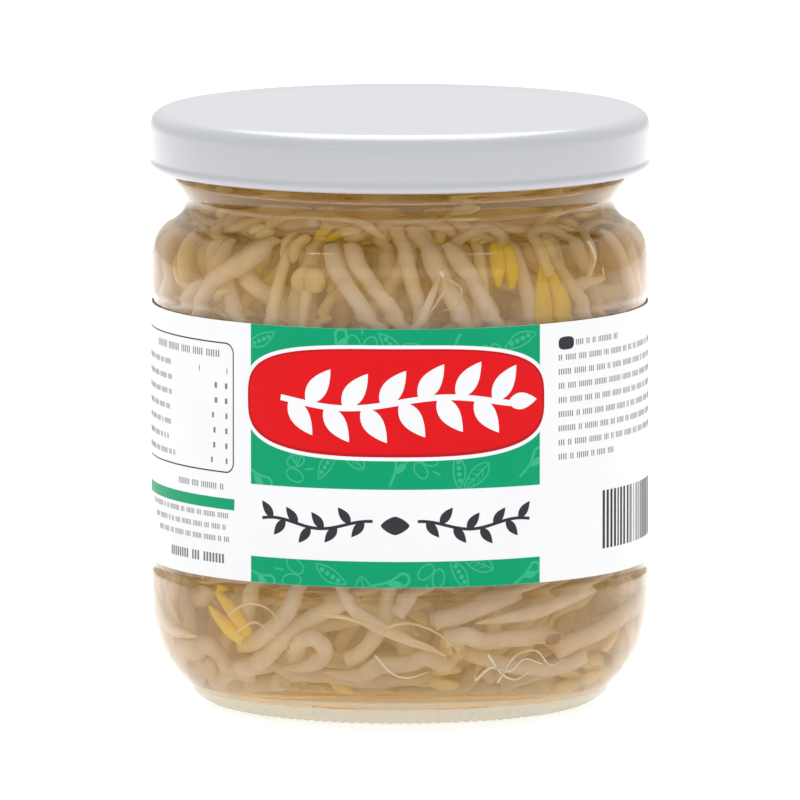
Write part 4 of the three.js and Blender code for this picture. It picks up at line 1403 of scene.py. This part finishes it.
def add_sprout(build, plant, beads, random, parts, sides, head_shape):
    """A sprout: its stem with an uneven skin, its thin root, and its pair of seed leaves or its cut end."""
    head = plant[1]
    longer, wider, thicker, narrowed, parted = head_shape
    line = smooth_line(beads, parts)
    share = np.arange(len(line)) / (len(line) - 1)
    width = stem_radius(plant, share) - SLIM
    phases = [2 * math.pi * random() for _ in WAVES]
    wave = sum(size * np.sin(share * rate + phase) for (rate, size), phase in zip(WAVES, phases))
    width = width * (1 + WAVE_SHARE * wave)
    width = np.maximum(THINNEST, width - 0.25 * np.clip(1 - share / 0.05, 0, 1))
    tone = 1 + 0.22 * (random() - 0.5)
    warm = random()
    along, across, through = frames_along(line)
    stop = HEAD_START[head]
    start = line[int(stop * parts)]
    tip = line[-1]
    length = float(np.linalg.norm(tip - start))
    if head == "bud":
        reach = min(0.5 * length + 0.35, BUD_REACH) * longer
        stop += (BEADS - 1 - stop) * max(0.0, 1 - 2 * reach / length)
        start = line[int(stop * parts)]
    last = len(line) - 1 if head == "none" else min(len(line) - 1, int((stop + 1.6) * parts))
    used = line[:last + 1]
    turn = 2 * math.pi * (np.arange(sides) + 0.5) / sides
    oval_by = 0.94 + 0.1 * random()
    ring = (across[:last + 1, None] * np.cos(turn)[None, :, None] * oval_by
            + through[:last + 1, None] * np.sin(turn)[None, :, None] / oval_by)
    verts = used[:, None] + ring * width[:last + 1, None, None]
    ends = np.array([used[0] - along[0] * 0.3, used[-1] + along[last] * 0.35 * width[last]])
    stem = STEM_TINT * tone * (1 - 0.04 * warm * np.array([0, 1, 2]))
    # Painted shade in the tints: darker and browner towards the top, under the lid
    upper_shade_share = np.clip((used[:, 2] - UPPER_SHADE_FROM) / (UPPER_SHADE_TO - UPPER_SHADE_FROM), 0, 1)[:, None]
    # Painted shade in the tints: a little darker towards the bottom
    settled = np.clip((LOW_SHADE_BELOW - used[:, 2]) / (LOW_SHADE_BELOW - LOW_SHADE_FULL_AT), 0, 1)[:, None]
    painted_shade = (1 - upper_shade_share * (1 - UPPER_SHADE_TINT)) * (1 - settled * (1 - LOW_SHADE_TINT))
    rootward = np.clip(1 - share[:last + 1] / 0.14, 0, 1)[:, None]
    neckward = np.zeros((last + 1, 1))
    if head != "none":
        neckward = np.clip((share[:last + 1] - 0.66) / 0.16, 0, 1)[:, None]
    neck_tint = NECK_TINT if head == "bud" else 0.5 * (NECK_TINT + YELLOW_TINT)
    tints = stem * (1 - rootward) * (1 - neckward) + ROOT_TINT * tone * rootward
    tints = (tints + neck_tint * tone * neckward * (1 - rootward)) * painted_shade
    tints = np.repeat(tints[:, None], sides, axis=1).reshape(-1, 3)
    end_tints = np.array([ROOT_TINT, stem if head == "none" else neck_tint])
    build.add(
        np.vstack([verts.reshape(-1, 3), ends]),
        tube_faces(last + 1, sides),
        np.vstack([tints, end_tints]),
    )
    if head == "none":
        return
    axis = (tip - start) / np.linalg.norm(tip - start)
    middle = int((stop + BEADS) / 2 * parts)
    side_way = across[min(middle, len(line) - 1)]
    side_way = side_way - axis * float(side_way @ axis)
    side_way /= np.linalg.norm(side_way)
    out_way = np.cross(side_way, axis)
    rows, around_sides = (11, 14) if parts > 2 else (6, 8)
    for side in (-1, 1):
        open_by = 0.06 + 0.14 * random()
        direction = axis * math.cos(open_by) + side_way * side * math.sin(open_by)
        out_here = np.cross(side_way, direction)
        sideways = np.cross(direction, out_here)
        if float(sideways @ side_way) < 0:
            sideways = -sideways
        if head == "bud":
            half = (reach, BUD_HALF[0] * wider, BUD_HALF[1] * thicker)
            centre = start + direction * reach * 0.95 + side_way * side * parted
            tint = BUD_TINT * tone * (1 + 0.1 * (random() - 0.5))
            narrowing = (0.1, 0.0)
        else:
            half = ((0.5 * length + 0.3) * longer, LEAF_HALF[0] * wider, LEAF_HALF[1] * thicker)
            centre = start + direction * (half[0] - 0.3) + side_way * side * 0.6 * parted * wider
            tint = YELLOW_TINT * (1 + 0.12 * (random() - 0.5))
            narrowing = (0.55 - narrowed, narrowed)
        bean(build, centre, direction, sideways, out_way, half, tint, side, *narrowing, rows, around_sides)


def add_root(build, places, radius):
    """A thin loose root that clings to the glass, through places given in degrees to the right and height."""
    parts, sides = 5, 7
    corners = []
    for i, (angle, height) in enumerate(places):
        corners.append(on_wall(angle, ROOT_R - 0.25 * (i % 2), height))
    line = smooth_line(np.array(corners), parts)
    along, across, through = frames_along(line)
    turn = 2 * math.pi * np.arange(sides) / sides
    width = radius * np.linspace(1.0, 0.35, len(line))
    ring = across[:, None] * np.cos(turn)[None, :, None] + through[:, None] * np.sin(turn)[None, :, None]
    verts = (line[:, None] + ring * width[:, None, None]).reshape(-1, 3)
    ends = np.array([line[0] - along[0] * radius, line[-1] + along[-1] * radius])
    verts = np.vstack([verts, ends])
    build.add(verts, tube_faces(len(line), sides), np.tile(THREAD_TINT, (len(verts), 1)))


def add_seed_coat(build, place, turn, length, width, tint):
    """A shed seed coat: a small cupped flake that lies against the glass."""
    angle, height, r = place
    rows, columns = 8, 8
    verts = []
    for layer in (0.0, 0.09):
        for row in range(rows + 1):
            for column in range(columns + 1):
                a = 2 * row / rows - 1
                b = 2 * column / columns - 1
                x = a * length / 2
                y = b * width / 2 * math.sqrt(max(0.04, 1 - a * a))
                sag = 0.35 * width * (a * a + b * b) * 0.5
                along = x * math.cos(turn) - y * math.sin(turn)
                up = x * math.sin(turn) + y * math.cos(turn)
                at = math.radians(angle) + along / r
                depth = r - sag - layer
                verts.append((depth * math.sin(at), -depth * math.cos(at), height + up))
    count = (rows + 1) * (columns + 1)
    faces = []
    for row in range(rows):
        for column in range(columns):
            a = row * (columns + 1) + column
            b = a + columns + 1
            faces.append((a, b, b + 1, a + 1))
            faces.append((count + a, count + a + 1, count + b + 1, count + b))
    edge = list(range(columns))
    edge += [row * (columns + 1) + columns for row in range(rows)]
    edge += [rows * (columns + 1) + column for column in range(columns, 0, -1)]
    edge += [row * (columns + 1) for row in range(rows, 0, -1)]
    for a, b in zip(edge, edge[1:] + edge[:1]):
        faces.append((a, b, count + b, count + a))
    build.add(np.array(verts), faces, np.tile(tint, (len(verts), 1)))


def make_sprouts():
    wall_random = draw(WALL_SEED)
    inner_random = draw(INNER_SEED)
    outer = list(FRONT) + [wall_sprout(wall_random, i) for i in range(REST_OF_WALL)]
    inner = [inner_sprout(inner_random, i) for i in range(INNER)]
    core = np.array([CORE_R + CORE_GAP] * len(outer) + [0.0] * len(inner))
    beads, radii = settle(outer + inner, core, ROUNDS)
    look = draw(LOOK_SEED)
    for order, plant in enumerate(outer):
        build = Build()
        add_sprout(build, plant, beads[order], look, 3, 12, HEAD_SHAPES.get(order + 1, PLAIN_HEAD))
        build.piece(f"sprout_{order + 1:02d}_fine", f"sprout_{order + 1:02d}")
    fill_random = draw(FILL_SEED)
    fill = [fill_sprout(fill_random, i, *FILL_DEPTHS) for i in range(FILL)]
    fill_beads, fill_radii = settle(fill, np.zeros(FILL), FILL_ROUNDS, (beads, radii))
    middle_random = draw(MIDDLE_SEED)
    middle = [fill_sprout(middle_random, i, *MIDDLE_DEPTHS) for i in range(MIDDLE)]
    middle_beads, _ = settle(middle, np.zeros(MIDDLE), MIDDLE_ROUNDS)
    neck_random = draw(NECK_SEED)
    neck = [neck_sprout(neck_random, i) for i in range(NECK_FILL)]
    neck += [side_sprout(neck_random, i) for i in range(SIDE_FILL)]
    neck += [floor_sprout(neck_random, i) for i in range(FLOOR_FILL)]
    settled = (np.concatenate([beads, fill_beads]), np.concatenate([radii, fill_radii]))
    neck_beads, _ = settle(neck, np.zeros(len(neck)), NECK_ROUNDS, settled)
    # The sprouts of each piece, with the steps between two beads and the sides of a stem
    groups = [
        ("sprouts_inner_fine", inner, beads[len(outer):], 2, 10),
        ("sprouts_neck", neck, neck_beads, 2, 9),
        ("sprouts_fill_a", fill[:FILL // 2], fill_beads[:FILL // 2], 2, 9),
        ("sprouts_fill_b", fill[FILL // 2:], fill_beads[FILL // 2:], 2, 9),
        ("sprouts_middle", middle, middle_beads, 1, 7),
    ]
    for name, plants, lines, parts, sides in groups:
        build = Build()
        if name == "sprouts_inner_fine":
            for place, turn, length, width in SEED_COATS:
                add_seed_coat(build, place, turn, length, width, COAT_TINT)
            for places, radius in ROOTS:
                add_root(build, places, radius)
        for plant, chain in zip(plants, lines):
            add_sprout(build, plant, chain, look, parts, sides, PLAIN_HEAD)
        build.piece(name, "sprouts_inner")


# The studio

CAMERA_LENS = 892.0
CAMERA_DISTANCE = 3.2
CAMERA_UP = math.radians(7.02)
CAMERA_TARGET = Vector((0.0, 0.0, 0.0487))
LIT_PLACE = (0, 0, 0.05)
WORLD_LIGHT = 0.72
FLOOR_REACH = 6.0


def aim(item, place, target):
    item.location = Vector(place)
    item.rotation_mode = "QUATERNION"
    item.rotation_quaternion = (Vector(target) - Vector(place)).to_track_quat("-Z", "Y")


def softbox(name, place, size, strength):
    lamp = bpy.data.lights.new(name, "AREA")
    lamp.shape = "RECTANGLE"
    lamp.size, lamp.size_y = size
    lamp.energy = strength * math.pi * size[0] * size[1]
    item = bpy.data.objects.new(name, lamp)
    bpy.context.scene.collection.objects.link(item)
    aim(item, place, LIT_PLACE)


def make_studio():
    scene = bpy.context.scene
    camera = bpy.data.objects.new("camera", bpy.data.cameras.new("camera"))
    scene.collection.objects.link(camera)
    camera.data.sensor_width = 36.0
    camera.data.lens = CAMERA_LENS
    back = Vector((0, -math.cos(CAMERA_UP), math.sin(CAMERA_UP)))
    aim(camera, CAMERA_TARGET + back * CAMERA_DISTANCE, CAMERA_TARGET)
    scene.camera = camera
    floor_mesh = bpy.data.meshes.new("floor")
    reach = FLOOR_REACH
    floor_mesh.from_pydata(
        [(-reach, -reach, 0), (reach, -reach, 0), (reach, reach, 0), (-reach, reach, 0)], [], [(0, 1, 2, 3)]
    )
    floor = bpy.data.objects.new("floor", floor_mesh)
    floor_mesh.materials.append(floor_material())
    scene.collection.objects.link(floor)
    world = bpy.data.worlds.new("studio")
    world.use_nodes = True
    background = world.node_tree.nodes["Background"]
    background.inputs["Color"].default_value = (1, 1, 1, 1)
    background.inputs["Strength"].default_value = WORLD_LIGHT
    scene.world = world
    scene.view_settings.view_transform = "Standard"
    scene.cycles.max_bounces = 24
    scene.cycles.diffuse_bounces = 10
    softbox("top_box", (0, 0.35, 1.3), (1.3, 1.1), 5.4)
    softbox("front_box", (0, -1.5, 0.75), (3.5, 0.5), 0.95)


make_glass()
make_brine()
make_lid()
make_label()
make_print()
make_sprouts()
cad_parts["lid_liner"].data.materials.clear()
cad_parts["lid_liner"].data.materials.append(LINER)
make_studio()
